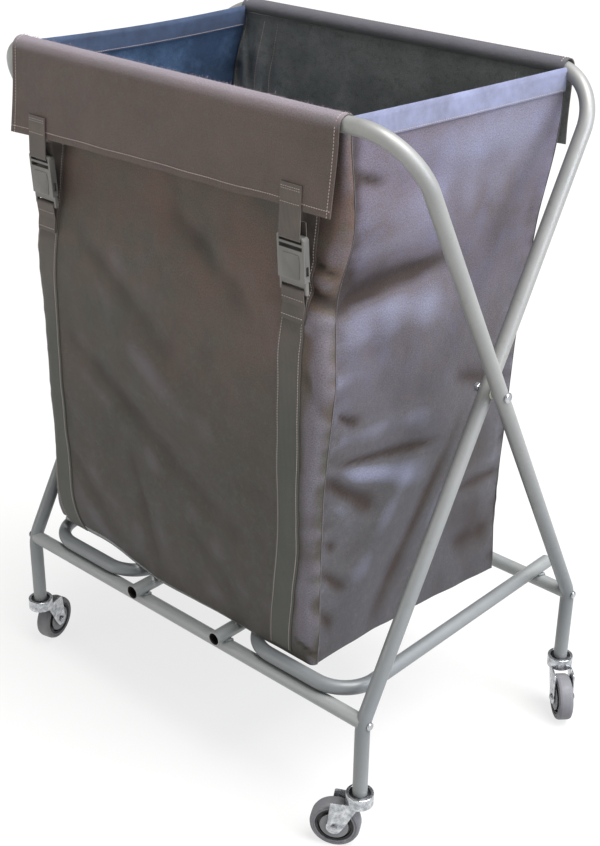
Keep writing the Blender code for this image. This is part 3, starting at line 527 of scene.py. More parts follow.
def mirrored(profile):
    """The other half of a profile that is the same on both sides of its middle."""
    return [(r, -z) for r, z in reversed(profile)]


def castor(corner):
    frame_body = "inner_frame" if corner.startswith("front") else "outer_frame"
    stem_low, stem_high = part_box(f"{corner}_castor_stem")
    tyre_low, tyre_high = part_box(f"{corner}_tyre")
    foot, hub = (stem_low + stem_high) / 2, (tyre_low + tyre_high) / 2
    heading = atan2(hub.y - foot.y, hub.x - foot.x)
    trail, wheel_r = (hub - foot).xy.length, (tyre_high.z - tyre_low.z) / 2
    stand = Matrix.Translation((foot.x, foot.y, 0)) @ Matrix.Rotation(heading, 4, "Z")
    axle = stand @ Matrix.Translation((trail, 0, hub.z)) @ Matrix.Rotation(pi / 2, 4, "X")

    stem = [(AXIS_R, 0.122), (0.0078, 0.122), (0.009, 0.1185), (0.009, 0.0877), (0.0113, 0.0877),
            (0.0113, 0.0965), (0.0135, 0.0965), (0.01525, 0.0955), (0.01525, 0.0813), (0.004, 0.0813),
            (0.004, 0.0782), (0.0065, 0.0782), (0.0065, 0.0764), (AXIS_R, 0.0764)]
    piece(f"{corner}_stem_and_collar", [turned(stem, stand)], [stem_steel], frame_body,
          [f"{corner}_castor_stem"])

    inside, mouth = CUP_R - CUP_WALL, CUP_R - 2 * CUP_WALL
    cup = softened([(PIN_HOLE_R, CROWN_Z + 0.0025), (inside, CROWN_Z + 0.0025),
                    (inside, CUP_LIP_Z - CUP_WALL), (mouth, CUP_LIP_Z - CUP_WALL), (mouth, CUP_LIP_Z),
                    (CUP_R, CUP_LIP_Z), (CUP_R, CROWN_Z), (PIN_HOLE_R, CROWN_Z)], 0.0011, closed=True)
    drop = CROWN_Z - hub.z
    rise = drop + 0.0045
    outline = [(trail + CHEEK_END_R * cos(a), CHEEK_END_R * sin(a)) for a in np.radians(range(-145, 36, 12))]
    outline += [(0.0415, drop * 0.7), (0.0405, drop * 0.9), (0.0393, rise - 0.0012), (0.037, rise),
                (0.022, rise), (0.008, rise), (0.0074, drop + 0.0012), (-0.0051, drop + 0.0012),
                (-0.0051, drop - 0.0002), (0.0015, drop - 0.004), (0.008, drop - 0.016), (0.0165, 0.0065)]
    parts = [turned(cup, stand, 64, closed=True)]
    for side in (-1, 1):
        cheek = stand @ Matrix.Translation((0, side * CHEEK_OUT, hub.z))
        parts.append(plate(outline, CHEEK_WALL, cheek, 0.0007))
    piece(f"{corner}_pressed_fork", parts, [fork_zinc], f"{corner}_swivel", [f"{corner}_castor_fork"],
          32)

    seat = CHEEK_OUT + CHEEK_WALL / 2 + 0.0003
    spindle = [*dome(AXLE_HEAD_R, seat, AXLE_HEAD, 10), (AXLE_HEAD_R, seat), (AXLE_SHANK_R, seat),
               (AXLE_SHANK_R, SLEEVE_HALF), (SLEEVE_R, SLEEVE_HALF), (SLEEVE_R, -SLEEVE_HALF),
               (AXLE_SHANK_R, -SLEEVE_HALF), (AXLE_SHANK_R, -seat)]
    nut = [(AXLE_SHANK_R, -seat), (AXLE_HEAD_R * 0.95, -seat), (AXLE_HEAD_R, -seat - 0.0004),
           (AXLE_HEAD_R, -seat - 0.0032), (AXLE_HEAD_R * 0.9, -seat - AXLE_HEAD), (AXIS_R, -seat - AXLE_HEAD)]
    piece(f"{corner}_axle_bolt", [turned(spindle, axle), turned(nut, axle, 6)], [bolt_zinc],
          f"{corner}_swivel", [f"{corner}_castor_axle"], 30)

    wall = [(TYRE_SEAT_R, TYRE_HALF), (0.0305, TYRE_HALF), (0.0312, 0.0108), (0.0322, 0.0108),
            (0.0329, TYRE_HALF), (0.0338, TYRE_HALF), (0.0362, 0.0104), (wheel_r - 0.0001, 0.0070)]
    tyre = softened([*wall, (wheel_r, 0.0), *mirrored(wall)], 0.0003, closed=True)
    piece(f"{corner}_rubber_tyre", [turned(tyre, axle, 96, closed=True)], [tyre_rubber], f"{corner}_wheel",
          [f"{corner}_tyre"], 45)
    guard = [(HUB_BORE_R, 0.01295), (0.0100, 0.01315), (0.0150, 0.01305), (0.0200, 0.01265),
             (GUARD_R, 0.01215), (GUARD_R, 0.0116), (HUB_BORE_R, 0.0116)]
    web = [(0.0196, 0.0108), (0.0200, 0.006), (0.0249, 0.006), (0.0253, 0.0098), (0.0284, 0.0100)]
    disc, other = [turned(profile, axle, 64, closed=True) for profile in (guard, mirrored(guard))]
    body = turned([(HUB_BORE_R, 0.0114), *web, *mirrored(web), (HUB_BORE_R, -0.0114)], axle, 64, closed=True)
    piece(f"{corner}_moulded_core", [(*body, 0), (*disc, 1), (*other, 1)], [core_plastic, guard_plastic],
          f"{corner}_wheel", [f"{corner}_wheel_core"], 34)


for corner in ("front_left", "front_right", "rear_left", "rear_right"):
    castor(corner)

# ---- Front panel of the bag ---------------------------------------------------------------------
# A tall bag of coated nylon, 0.61 m long, is sewn from five panels and hung between the top bars. The
# front panel wraps round its corners to the side seams. Old loads have left it bellied low down,
# pulled into diagonal folds and puckered along the seams.

BAG_CLOTH = 0.0014
BAG_LENGTH, BAG_LEFT = 0.61, -0.327
BAG_TOP, BAG_BOTTOM = 1.042, 0.255
PANEL_STEP = 0.0065         # between the rows and columns of points of a panel
THREAD_PITCH = 0.0011       # the real threads lie 0.5 mm apart, which would be too fine to show


def crossed_waves(tree, flat, across, along, how):
    """The relief of threads that cross: a wave each way over the cloth, whose lengths are in metres."""
    split = wire(tree, "SeparateXYZ", (flat,))
    waves = []
    for axis, pitch in (("X", across), ("Y", along)):
        turns = wire(tree, "Math", (split.outputs[axis], 2 * pi / pitch), operation="MULTIPLY")
        waves.append(wire(tree, "Math", (turns,), operation="SINE"))
    return wire(tree, "Math", waves, operation=how)


def cloth(name, deep, mid, pale, crease_shade="#3b3531", ridge_highlight="#7c7688", low=None, rough=0.55, sheen=0.15,
          crumple=0.0011, slub=0.1, patchy=0.6, cast="#4a5545"):
    """Plain-woven nylon with a polyurethane coat: a soft sheen over fine threads and small creases.

    It has faded in patches and has a greenish cast in blotches. Painted shade makes the hollows of its
    folds brown, painted highlight pales their ridges, and painted shade darkens it low down to the low tone.
    """
    made, tree, shader = surface(name, Sheen_Weight=sheen, Sheen_Roughness=0.45, Sheen_Tint=srgb("#b9b6d6"),
                                 Specular_IOR_Level=0.28)
    coords = wire(tree, "TexCoord")
    where, flat = coords.outputs["Object"], coords.outputs["UV"]
    weave = crossed_waves(tree, flat, THREAD_PITCH, THREAD_PITCH, "MULTIPLY")
    height = wire(tree, "SeparateXYZ", (where,)).outputs["Z"]
    painted_light = wire(tree, "Attribute", attribute_name="painted_light").outputs["Fac"]
    broad = wire(tree, "TexNoise", (where, per_metre(153.85), 4, 0.6))
    blotch = wire(tree, "TexNoise", (where, per_metre(47.6), 5, 0.65))
    mottle = wire(tree, "TexNoise", (where, per_metre(9.52), 4, 0.7))
    # Painted shade: darker low down and in the hollows of folds. Painted highlight: paler on the ridges of
    # folds.
    tone = painted(tree, deep, (broad, 0.36, 0.62, 0, 1, mid), (blotch, 0.48, 0.74, 0, patchy, pale),
                   (height, 0.50, 0.93, 0.9, 0, low or deep), (mottle, 0.50, 0.70, 0, 0.42, cast),
                   (painted_light, 0, 1, 0, 0.92, crease_shade), (painted_light, -0.15, -1, 0, 0.55, ridge_highlight))
    slubs = wire(tree, "TexNoise", (flat, per_metre(1.923), 2))
    thread = wire(tree, "MapRange", (slubs, 0.30, 0.70, 1 - slub, 1 + slub))
    depth = wire(tree, "MapRange", (weave, -1, 1, 0.94, 1.06))
    grey = wire(tree, "Math", (thread, depth), operation="MULTIPLY")
    tone = wire(tree, "Mix", (1.0, tone, grey), data_type="RGBA", blend_type="MULTIPLY")
    gloss = wire(tree, "MapRange", (blotch, 0.3, 0.7, rough * 0.86, rough * 1.14))
    large = wire(tree, "TexNoise", (where, per_metre(58.8), 6, 0.62))
    small = wire(tree, "TexNoise", (where, per_metre(13.33), 4, 0.6))
    normal = wire(tree, "Bump", {"Height": large, "Distance": crumple * 3.2, "Strength": 0.55})
    normal = wire(tree, "Bump", {"Height": small, "Distance": crumple, "Strength": 0.5, "Normal": normal})
    normal = wire(tree, "Bump", {"Height": weave, "Distance": 0.00016, "Strength": 0.6, "Normal": normal})
    wire(tree, shader, {"Base Color": tone, "Roughness": gloss, "Normal": normal})
    return made


front_cloth = cloth("taupe_coated_nylon", "#4a4840", "#604c44", "#6a554b", "#2c241d", "#716c79",
                    low="#3b3832", sheen=0.1, slub=0.26)
# The coated side of the same cloth: darker, smoother and cooler, and grey where it has worn.
dark_lining = cloth("dark_coated_lining", "#6a6e6d", "#7a7d7c", "#878989", "#464948", "#96989a", rough=0.62,
                    sheen=0.08, slub=0.2, cast="#3f4641")


def keyed(z, keys, ease=0.016):
    """A length that changes with height, eased between keys of (height, length)."""
    heights, lengths = zip(*sorted(keys))
    return float(np.interp([z - ease, z - ease / 2, z, z + ease / 2, z + ease], heights, lengths).mean())


# Edges of the panels, as (height, depth or place along the bars).
FRONT_FACE = [(1.042, -0.2065), (0.93, -0.2068), (0.86, -0.2160), (0.79, -0.2268), (0.74, -0.2328),
              (0.66, -0.2350), (0.50, -0.2355), (0.38, -0.2352), (0.32, -0.2330), (0.28, -0.2285),
              (0.255, -0.2225)]
RIGHT_FRONT = [(1.05, 0.273), (0.965, 0.276), (0.90, 0.2775), (0.865, 0.2705), (0.83, 0.2625),
               (0.80, 0.2620), (0.76, 0.2680), (0.705, 0.2735), (0.66, 0.2700), (0.615, 0.2652),
               (0.53, 0.2575), (0.43, 0.2560), (0.30, 0.2530), (0.255, 0.2535)]
LEFT_FRONT = [(1.05, -0.328), (0.9, -0.326), (0.8, -0.318), (0.6, -0.310), (0.45, -0.309), (0.37, -0.314),
              (0.255, -0.326)]
CORNER_R = [(1.02, 0.008), (0.90, 0.020), (0.30, 0.020), (0.255, 0.007)]    # of the front corners


def face_at(x, z):
    """Depth of the front face. Low on the left it tucks in towards the loop it has slipped off."""
    tucked = min(1.0, max(0.0, (-0.08 - x) / 0.14)) * max(0.0, (0.40 - z) / 0.145) ** 4
    return keyed(z, FRONT_FACE) + 0.020 * tucked


def fold(h, z, start, end, width, depth, crisp=2.0, fade=0.3):
    """How far a fold moves the cloth at a point. It runs from start to end and dies away at both."""
    along_h, along_z = end[0] - start[0], end[1] - start[1]
    run = along_h ** 2 + along_z ** 2
    t = ((h - start[0]) * along_h + (z - start[1]) * along_z) / run
    off = abs((h - start[0]) * along_z - (z - start[1]) * along_h) / run ** 0.5
    held = min(1.0, max(0.0, (t + fade) / (2 * fade))) * min(1.0, max(0.0, (1 + fade - t) / (2 * fade)))
    held = held * held * (3 - 2 * held)
    wide = width * (0.55 + 0.45 * min(1, max(0, t)))
    return depth * held * exp(-((off / wide) ** crisp))


# Each fold runs from one place to another (along, up), with its width, its depth and how crisp it is.
FRONT_FOLDS = [
    ((-0.20, 0.60), (0.10, 0.42), 0.034, -0.0060),
    ((-0.13, 0.66), (0.09, 0.55), 0.040, 0.0040),
    ((-0.20, 0.78), (-0.03, 0.67), 0.030, -0.0044),
    ((-0.01, 0.86), (0.13, 0.77), 0.028, -0.0040),
    ((-0.11, 0.45), (-0.06, 0.29), 0.022, -0.0044, 1.5),
    ((-0.25, 0.42), (-0.16, 0.30), 0.026, -0.0040),
    ((0.02, 0.38), (0.12, 0.29), 0.026, -0.0036),
    ((0.232, 0.865), (0.275, 0.845), 0.010, -0.0050, 1.4),
    ((0.225, 0.828), (0.272, 0.812), 0.012, -0.0085, 1.3),
    ((0.235, 0.845), (0.262, 0.838), 0.008, 0.0035),
    ((0.232, 0.775), (0.272, 0.800), 0.014, 0.0045),
    ((0.236, 0.72), (0.262, 0.66), 0.012, -0.0030),
    ((0.228, 0.288), (0.262, 0.262), 0.006, -0.0045, 1.2),
]
# Strokes of painted shade, and of painted highlight where they are negative, written in the same way as the
# folds.
FRONT_PAINTED_SHADE = [
    ((0.255, 1.000), (0.262, 0.880), 0.022, 0.55),
    ((0.235, 0.850), (0.268, 0.845), 0.011, 0.75),
    ((0.232, 0.815), (0.268, 0.805), 0.011, 0.85),
    ((0.240, 0.790), (0.262, 0.760), 0.012, -0.50),
    ((0.262, 0.780), (0.245, 0.580), 0.012, -0.75),
    ((0.238, 0.420), (0.238, 0.290), 0.011, -0.75),
    ((0.238, 0.640), (0.236, 0.330), 0.009, 0.25),
    ((0.226, 0.292), (0.262, 0.264), 0.005, 0.60),
]


def pull(h, z, side):
    """Soft slack that every panel has."""
    drift = noise.noise(Vector((h * 7 + side * 5.3, z * 6, side))) * 0.0040
    small = noise.noise(Vector((h * 23 + side, z * 19, side * 2.1))) * 0.0014
    return drift + small


def pucker(z, away, seed):
    """Short creases that run in from a seam."""
    ripple = noise.noise(Vector((seed, z * 46, 0.5))) + 0.5 * noise.noise(Vector((seed * 2, z * 105, 1.5)))
    return 0.0030 * ripple * exp(-away / 0.020) * min(1.0, away / 0.004)


def front_bottom(x):
    return float(np.interp(x, [-0.34, -0.29, -0.19, -0.11, 0.058, 0.15, 0.21, 0.26],
                           [0.270, 0.2770, 0.2730, 0.2610, 0.2572, 0.2558, 0.2552, 0.2530]))


def columns(length, step=PANEL_STEP, fine=0.0018):
    """Distances along a panel, close together at both seams."""
    near = [0.0]
    while near[-1] < 0.03:
        near.append(near[-1] + fine + near[-1] * 0.12)
    count = max(4, int((length - 2 * near[-1]) / step))
    return [*near, *[near[-1] + (length - 2 * near[-1]) * n / count for n in range(1, count)],
            *[length - n for n in reversed(near)]]


def front_point(share, z):
    """Front panel: out of the left seam, round that corner, along the face and round to the right seam."""
    left, right, r = [keyed(z, keys) for keys in (LEFT_FRONT, RIGHT_FRONT, CORNER_R)]
    arc = r * pi / 2
    run = right - left - 2 * r
    s = share * (run + 2 * arc)
    face = face_at(left + r + s - arc, z)
    if s < arc:
        a = s / r
        place = Vector((left + r * (1 - cos(a)), face + r * (1 - sin(a)), z))
        out = Vector((-cos(a), -sin(a), 0))
    elif s > run + arc:
        a = (s - run - arc) / r
        place = Vector((right - r * (1 - sin(a)), face + r * (1 - cos(a)), z))
        out = Vector((sin(a), -cos(a), 0))
    else:
        place, out = Vector((left + r + s - arc, face, z)), Vector((0, -1, 0))
    swell = sum(fold(place.x, z, *f) for f in FRONT_FOLDS)
    edge = min(s, run + 2 * arc - s)
    held = min(1.0, edge / 0.02)
    top = min(1.0, max(0.0, (BAG_TOP - z) / 0.10))
    clear = 1.0 if z < 0.77 else max(0.0, 1 - (z - 0.77) / 0.03)
    swell += pull(place.x, z, 1) * held
    swell = min(swell, 0.0012 + 0.02 * clear)
    return place + out * (swell * held * top + pucker(z, edge, 1.0 if s < run / 2 else 2.0) * top)


def rows(low, high, step):
    count = int((high - low) / step)
    return [low + (high - low) * n / count for n in range(count + 1)]


def panel_grid(point, width, top, bottom, mirror=False):
    """Rows of points over a panel, from its bottom edge to its top."""
    shares = [s / width for s in columns(width)]
    if mirror:
        shares = shares[::-1]
    levels = rows(0.0, 1.0, PANEL_STEP / (top - BAG_BOTTOM))
    grid = []
    for level in levels:
        row = []
        for share in shares:
            floor = bottom(share)
            row.append(point(share, floor + (top - floor) * level))
        grid.append(row)
    return np.array([[tuple(p) for p in row] for row in grid])


def hollows(grid, normal, reach=4, full=0.0034):
    """How far each point lies below the cloth around it (up to 1), or above it (down to -1)."""
    wide = np.pad(grid, ((reach, reach), (reach, reach), (0, 0)), mode="reflect", reflect_type="odd")
    steps = range(0, 2 * reach + 1, 2)
    high, broad = grid.shape[:2]
    around = sum(wide[r:r + high, c:c + broad] for r in steps for c in steps) / len(steps) ** 2
    return np.clip(((around - grid) * normal).sum(axis=2) / full, -1, 1)


def painted_shade_strokes(grid, column, strokes):
    """Painted shade (up to 1) and painted highlight (down to -1) along lines, at each point of a panel."""
    return np.array([[sum(fold(p[column], p[2], *s) for s in strokes) for p in row] for row in grid])


def shell(name, grid, thickness, looks, body=None, nodes=(), painted_strokes=0.0):
    """A cloth of real thickness over rows of points: outer look, lining and cut edges."""
    rows_n, cols_n = grid.shape[:2]
    along, over = np.gradient(grid, axis=1), np.gradient(grid, axis=0)
    normal = np.cross(along, over)
    normal /= np.maximum(np.linalg.norm(normal, axis=2, keepdims=True), 1e-12)
    widths = np.linalg.norm(np.diff(grid[rows_n // 2], axis=0), axis=1)
    heights = np.linalg.norm(np.diff(grid[:, cols_n // 2], axis=0), axis=1)
    u, v = np.concatenate([[0], widths.cumsum()]), np.concatenate([[0], heights.cumsum()])
    uvs = np.stack(np.meshgrid(u, v), axis=2).reshape(-1, 2)
    outer = (grid + normal * thickness / 2).reshape(-1, 3)
    inner = (grid - normal * thickness / 2).reshape(-1, 3)
    count = rows_n * cols_n
    faces, slots = [], []
    for r in range(rows_n - 1):
        for c in range(cols_n - 1):
            a, b = r * cols_n + c, (r + 1) * cols_n + c
            quad = [a, a + 1, b + 1, b]
            faces += [quad, [count + n for n in reversed(quad)]]
            slots += [0, 1]
    rim = list(range(cols_n)) + [r * cols_n + cols_n - 1 for r in range(1, rows_n)]
    rim += [(rows_n - 1) * cols_n + c for c in range(cols_n - 2, -1, -1)]
    rim += [r * cols_n for r in range(rows_n - 2, 0, -1)]
    for n, at in enumerate(rim):
        after = rim[(n + 1) % len(rim)]
        faces.append([at, count + at, count + after, after])
        slots.append(0)
    parts = [(np.concatenate([outer, inner]), faces, slots, np.concatenate([uvs, uvs]))]
    made = piece(name, parts, looks, body, nodes, 60)
    # The attribute holds painted shade in fold hollows and painted highlight on fold ridges, with the panel's
    # painted strokes added on its outer side.
    if min(rows_n, cols_n) > 12:
        deep = hollows(grid, normal)
        shown = np.concatenate([np.clip(deep + painted_strokes, -1, 1).ravel(), -deep.ravel()])
        made.data.attributes.new("painted_light", "FLOAT", "POINT").data.foreach_set("value", shown)
    return made


front_grid = panel_grid(front_point, BAG_LENGTH, BAG_TOP,
                        lambda share: front_bottom(BAG_LEFT + BAG_LENGTH * share))
bag_front = shell("bag_front_cloth", front_grid, BAG_CLOTH, [front_cloth, dark_lining], "outer_frame",
                  ["bag_front_panel"], painted_shade_strokes(front_grid, 0, FRONT_PAINTED_SHADE))

# ---- Rear panel of the bag ----------------------------------------------------------------------
# A single width of the same cloth, coated side in, hung from the inner frame's bar. It has slid a
# little along the bar, which gathers it into short folds by its upper corners.

rear_cloth = cloth("taupe_rear_nylon", "#42433d", "#4f4a48", "#5a5352")
REAR_FACE = [(1.042, 0.2085), (0.95, 0.2080), (0.83, 0.2010), (0.65, 0.1940), (0.45, 0.1905), (0.255, 0.1865)]
RIGHT_REAR = [(1.05, 0.311), (0.99, 0.310), (0.93, 0.305), (0.84, 0.291), (0.65, 0.276), (0.5, 0.272),
              (0.36, 0.266), (0.24, 0.275)]
LEFT_REAR = [(1.05, -0.300), (1.024, -0.304), (0.945, -0.328), (0.6, -0.326), (0.255, -0.330)]


def rear_point(share, z):
    left, right, face = keyed(z, LEFT_REAR), keyed(z, RIGHT_REAR), keyed(z, REAR_FACE)
    x = left + (right - left) * share
    edge = min(x - left, right - x)
    swell = pull(x, z, 2) * 1.3 + fold(x, z, (-0.2, 0.55), (0.15, 0.40), 0.05, 0.003)
    top = min(1.0, max(0.0, (BAG_TOP - z) / 0.08))
    lifted = min(1.0, max(0.0, (z - 0.80) / 0.08))
    gather = -0.0190 * abs(noise.noise(Vector((x * 48, z * 5, 3.3)))) * exp(-edge / 0.05) * lifted
    held = min(1.0, edge / 0.03)
    return Vector((x, face + min(0.004, swell) * held * top + (gather - 0.002) * held * top
                   + pucker(z, edge, 3.0), z))


rear_grid = panel_grid(rear_point, BAG_LENGTH, BAG_TOP, lambda share: 0.2555, mirror=True)
bag_rear = shell("bag_rear_cloth", rear_grid, BAG_CLOTH, [rear_cloth, dark_lining], "inner_frame",
                 ["bag_rear_panel"])

# ---- Side panels of the bag ---------------------------------------------------------------------
# Two lighter mauve-grey panels, sewn to the front and rear ones. They hang slack between the frames.
# The left one shows its blue coated side in the bag's mouth.

SIDE_TOP, SIDE_WIDTH = 1.050, 0.385
SIDE_FRONT, SIDE_REAR = -0.186, 0.185       # of its lower edge

# Lighter and more mauve than the front cloth: in part a painted reflection of the cool light from the right.
side_cloth = cloth("mauve_window_lit_nylon", "#564e51", "#605965", "#66657a", "#2a1f15", "#82869e", low="#3f3f3f",
                   rough=0.64, sheen=0.12, slub=0.30, patchy=0.7, cast="#59534f")
blue_lining = cloth("blue_coated_lining", "#28394f", "#344a66", "#4a6484", "#1e2b3d", "#5c7592", rough=0.6,
                    sheen=0.1, slub=0.2, patchy=0.9, cast="#2b3a4c")

SIDE_FOLDS = [
    ((-0.290, 0.803), (-0.02, 0.822), 0.020, -0.0095, 1.5),
    ((-0.19, 0.865), (-0.04, 0.868), 0.034, 0.0040),
    ((-0.19, 0.765), (0.02, 0.748), 0.040, 0.0042),
    ((-0.205, 0.985), (-0.140, 0.960), 0.009, -0.0050, 1.3),
    ((-0.205, 0.655), (-0.165, 0.628), 0.007, -0.0050, 1.1),
    ((-0.185, 0.570), (0.000, 0.540), 0.008, -0.0050, 1.1),
    ((-0.17, 0.610), (0.02, 0.590), 0.026, 0.0025),
    ((-0.160, 0.548), (-0.02, 0.500), 0.026, 0.0026),
    ((-0.220, 0.560), (-0.121, 0.480), 0.010, -0.0062, 1.2),
    ((0.045, 0.510), (-0.100, 0.280), 0.030, -0.0050, 1.4),
    ((-0.05, 0.500), (-0.15, 0.360), 0.032, 0.0030),
    ((0.085, 0.430), (0.200, 0.420), 0.012, -0.0050, 1.3),
    ((0.08, 0.330), (0.17, 0.320), 0.030, -0.0040, 1.5),
    ((0.06, 0.625), (0.17, 0.585), 0.022, -0.0040, 1.6),
    ((-0.225, 0.465), (-0.189, 0.438), 0.007, -0.0045, 1.1),
    ((-0.220, 0.412), (-0.166, 0.362), 0.008, -0.0045, 1.2),
    ((-0.215, 0.345), (-0.190, 0.310), 0.008, -0.0045, 1.2),
    ((-0.10, 0.960), (0.12, 0.930), 0.060, -0.0040),
]
# Strokes of painted shade by the folds and the front seam, and of painted highlight where negative.
SIDE_PAINTED_SHADE = [
    ((-0.190, 1.080), (-0.197, 0.800), 0.017, 0.85, 2.0, 0.10),
    ((-0.215, 0.985), (-0.150, 0.962), 0.012, 0.45),
    ((-0.310, 0.836), (-0.070, 0.836), 0.030, 0.70),
    ((-0.310, 0.800), (-0.020, 0.821), 0.012, 0.55),
    ((-0.235, 0.745), (-0.235, 0.470), 0.028, 0.45),
    ((-0.205, 0.655), (-0.165, 0.628), 0.010, 0.60),
    ((-0.180, 0.572), (0.000, 0.540), 0.010, 0.55),
    ((-0.216, 0.560), (-0.125, 0.482), 0.018, 0.95, 2.0, 0.12),
    ((-0.225, 0.465), (-0.189, 0.438), 0.009, 0.60),
    ((-0.220, 0.412), (-0.166, 0.362), 0.013, 0.65),
    ((-0.215, 0.345), (-0.190, 0.300), 0.014, 0.60),
    ((0.060, 0.540), (-0.100, 0.270), 0.022, 0.50),
    ((0.100, 0.540), (0.140, 0.280), 0.060, 0.55),
    ((0.060, 0.640), (0.160, 0.590), 0.035, 0.40),
    ((-0.150, 0.785), (0.000, 0.770), 0.022, -0.40),
    ((-0.165, 0.552), (-0.020, 0.490), 0.018, -0.60),
    ((-0.08, 0.93), (0.20, 1.00), 0.075, -0.80),
]


def side_bottom(y):
    return float(np.interp(y, [-0.22, -0.17, -0.12, -0.077, -0.045, 0.01, 0.10, 0.1865],
                           [0.2530, 0.2540, 0.2560, 0.2575, 0.2545, 0.2555, 0.2490, 0.2410]))


def side_point(share, z, side):
    near, far = (RIGHT_FRONT, RIGHT_REAR) if side > 0 else (LEFT_FRONT, LEFT_REAR)
    front_y, rear_y = face_at(keyed(z, near), z) + keyed(z, CORNER_R), keyed(z, REAR_FACE)
    y = front_y + (rear_y - front_y) * share
    x = keyed(z, near) + (keyed(z, far) - keyed(z, near)) * share
    edge = min(y - front_y, rear_y - y)
    swell = sum(fold(y if side > 0 else y + 0.03, z, *f) for f in SIDE_FOLDS) * (1 if side > 0 else 0.8)
    belly = 0.0050 * sin(pi * share) * exp(-((z - 0.46) / 0.19) ** 2)
    held, top = min(1.0, edge / 0.022), min(1.0, max(0.0, (SIDE_TOP - 0.030 - z) / 0.07))
    swell = (swell + belly + pull(y, z, 3 + side)) * held
    sag = 0.0030 * sin(pi * share) * exp(-(SIDE_TOP - z) / 0.12)
    inner = -0.0060 * sin(pi * share) * exp(-(SIDE_TOP - z) / 0.09)
    return Vector((x + side * (swell * top + inner + pucker(z, edge, 5.0 + side) * top), y, z - sag))


def side_grid(side, bottom):
    """The grid of the right side panel (1) or the left one (-1)."""
    return panel_grid(lambda share, z: side_point(share, z, side), SIDE_WIDTH, SIDE_TOP,
                      lambda share: bottom(side_bottom(SIDE_FRONT + (SIDE_REAR - SIDE_FRONT) * share)),
                      mirror=side < 0)


def between(made):
    """Applies the placement of cloth that runs from the rear bar's frame to the front bar's frame to its
    mesh.
    """
    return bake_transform(made)


right_grid = side_grid(1, lambda z: z)
left_grid = side_grid(-1, lambda z: z * 0.5 + 0.132)
bag_right = shell("bag_right_cloth", right_grid, BAG_CLOTH, [side_cloth, dark_lining], None,
                  ["bag_right_panel"], painted_shade_strokes(right_grid, 1, SIDE_PAINTED_SHADE))
bag_left = shell("bag_left_cloth", left_grid, BAG_CLOTH, [side_cloth, blue_lining], None,
                 ["bag_left_panel"])
between(bag_right)
between(bag_left)

# ---- Floor of the bag ---------------------------------------------------------------------------
# A rectangle of the coated cloth sewn along the lower edges of the four walls. It lies on the base
# loops and follows the walls' uneven edges.


def bag_floor():
    """The floor follows the lower edges of the four walls and lies on the loops between them."""
    front, rear = front_grid[0], rear_grid[0][::-1]
    across, along = 84, 60

    def edge(line, count):
        at = np.linspace(0, len(line) - 1, count)
        return np.stack([np.interp(at, range(len(line)), line[:, n]) for n in range(3)], axis=1)

    south, north = edge(front, across), edge(rear, across)
    west, east = edge(left_grid[0][::-1], along), edge(right_grid[0], along)
    grid = np.zeros((along, across, 3))
    for r in range(along):
        for c in range(across):
            v, u = r / (along - 1), c / (across - 1)
            grid[r, c] = ((1 - v) * south[c] + v * north[c] + (1 - u) * west[r] + u * east[r]
                          - (1 - u) * (1 - v) * south[0] - u * (1 - v) * south[-1]
                          - (1 - u) * v * north[0] - u * v * north[-1])
            x, y, z = grid[r, c]
            inside = min(x - BAG_LEFT, 0.27 - x, y + 0.2065, 0.1865 - y)
            rest = 0.2560 + 0.0008 * noise.noise(Vector((x * 20, y * 20, 0)))
            ease = min(1.0, max(0.0, inside / 0.045))
            grid[r, c, 2] = z + (rest - z) * ease * ease * (3 - 2 * ease)
    return shell("bag_floor_cloth", grid, BAG_CLOTH, [dark_lining, rear_cloth], None, ["bag_floor_panel"])


bag_base = bag_floor()
between(bag_base)

# ---- Hem tapes ----------------------------------------------------------------------------------
# A 30 mm ribbed tape is folded over the top edge of each side panel and stitched along both its
# edges with pale polyester. It narrows where it is caught in the seam at the front.

HEM_DEPTH, HEM_TAPE, HEM_STITCH_DEPTH = 0.030, 0.0011, 0.0275
RIB = 0.0022
STITCH_SHARE = 0.66         # of the pitch; the rest is under the cloth


def ribbed(name, deep, pale, sheen=0.35, low=None):
    """Woven polyester tape: matt, with 2.2 mm ribs crossed by a tight weave, darker towards the bottom."""
    made, tree, shader = surface(name, Sheen_Weight=sheen, Sheen_Roughness=0.5, Roughness=0.72)
    coords = wire(tree, "TexCoord")
    ribs = crossed_waves(tree, coords.outputs["UV"], RIB, RIB * 0.45, "ADD")
    height = wire(tree, "SeparateXYZ", (coords.outputs["Object"],)).outputs["Z"]
    cloud = wire(tree, "TexNoise", (coords.outputs["Object"], per_metre(38.5), 5, 0.65))
    tone = painted(tree, deep, (cloud, 0.32, 0.70, 0, 1, pale))
    if low:
        tone = painted(tree, tone, (height, 0.60, 0.83, 0.85, 0, low))
    grey = wire(tree, "MapRange", (ribs, -2, 2, 0.86, 1.12))
    tone = wire(tree, "Mix", (1.0, tone, grey), data_type="RGBA", blend_type="MULTIPLY")
    relief = wire(tree, "Bump", {"Height": ribs, "Distance": 0.0002, "Strength": 0.7})
    wire(tree, shader, {"Base Color": tone, "Normal": relief})
    return made


hem_tape = ribbed("lavender_hem_tape", "#5f637b", "#7a80a0")
inner_tape = ribbed("blue_hem_tape", "#2a3952", "#3a4d6d", sheen=0.1)


def spun(name, tone, shade):
    """Spun thread: matt and dirtied in places. Its 0.2 mm twist is drawn at 0.4 mm, or it wouldn't show."""
    return mottled(name, shade, tone, (7.14, 4), (0.4, 1), 0.00012, Roughness=0.8, Sheen_Weight=0.3)


pale_thread = spun("pale_sewing_thread", "#b5a6a0", "#8d7f79")


def resampled(line, step):
    """The polyline cut into equal steps."""
    line = np.array([tuple(p) for p in line], float)
    gaps = np.linalg.norm(np.diff(line, axis=0), axis=1)
    at = np.concatenate([[0], gaps.cumsum()])
    wanted = np.linspace(0, at[-1], max(2, int(at[-1] / step) + 1))
    return [Vector(p) for p in np.stack([np.interp(wanted, at, line[:, n]) for n in range(3)], axis=1)]


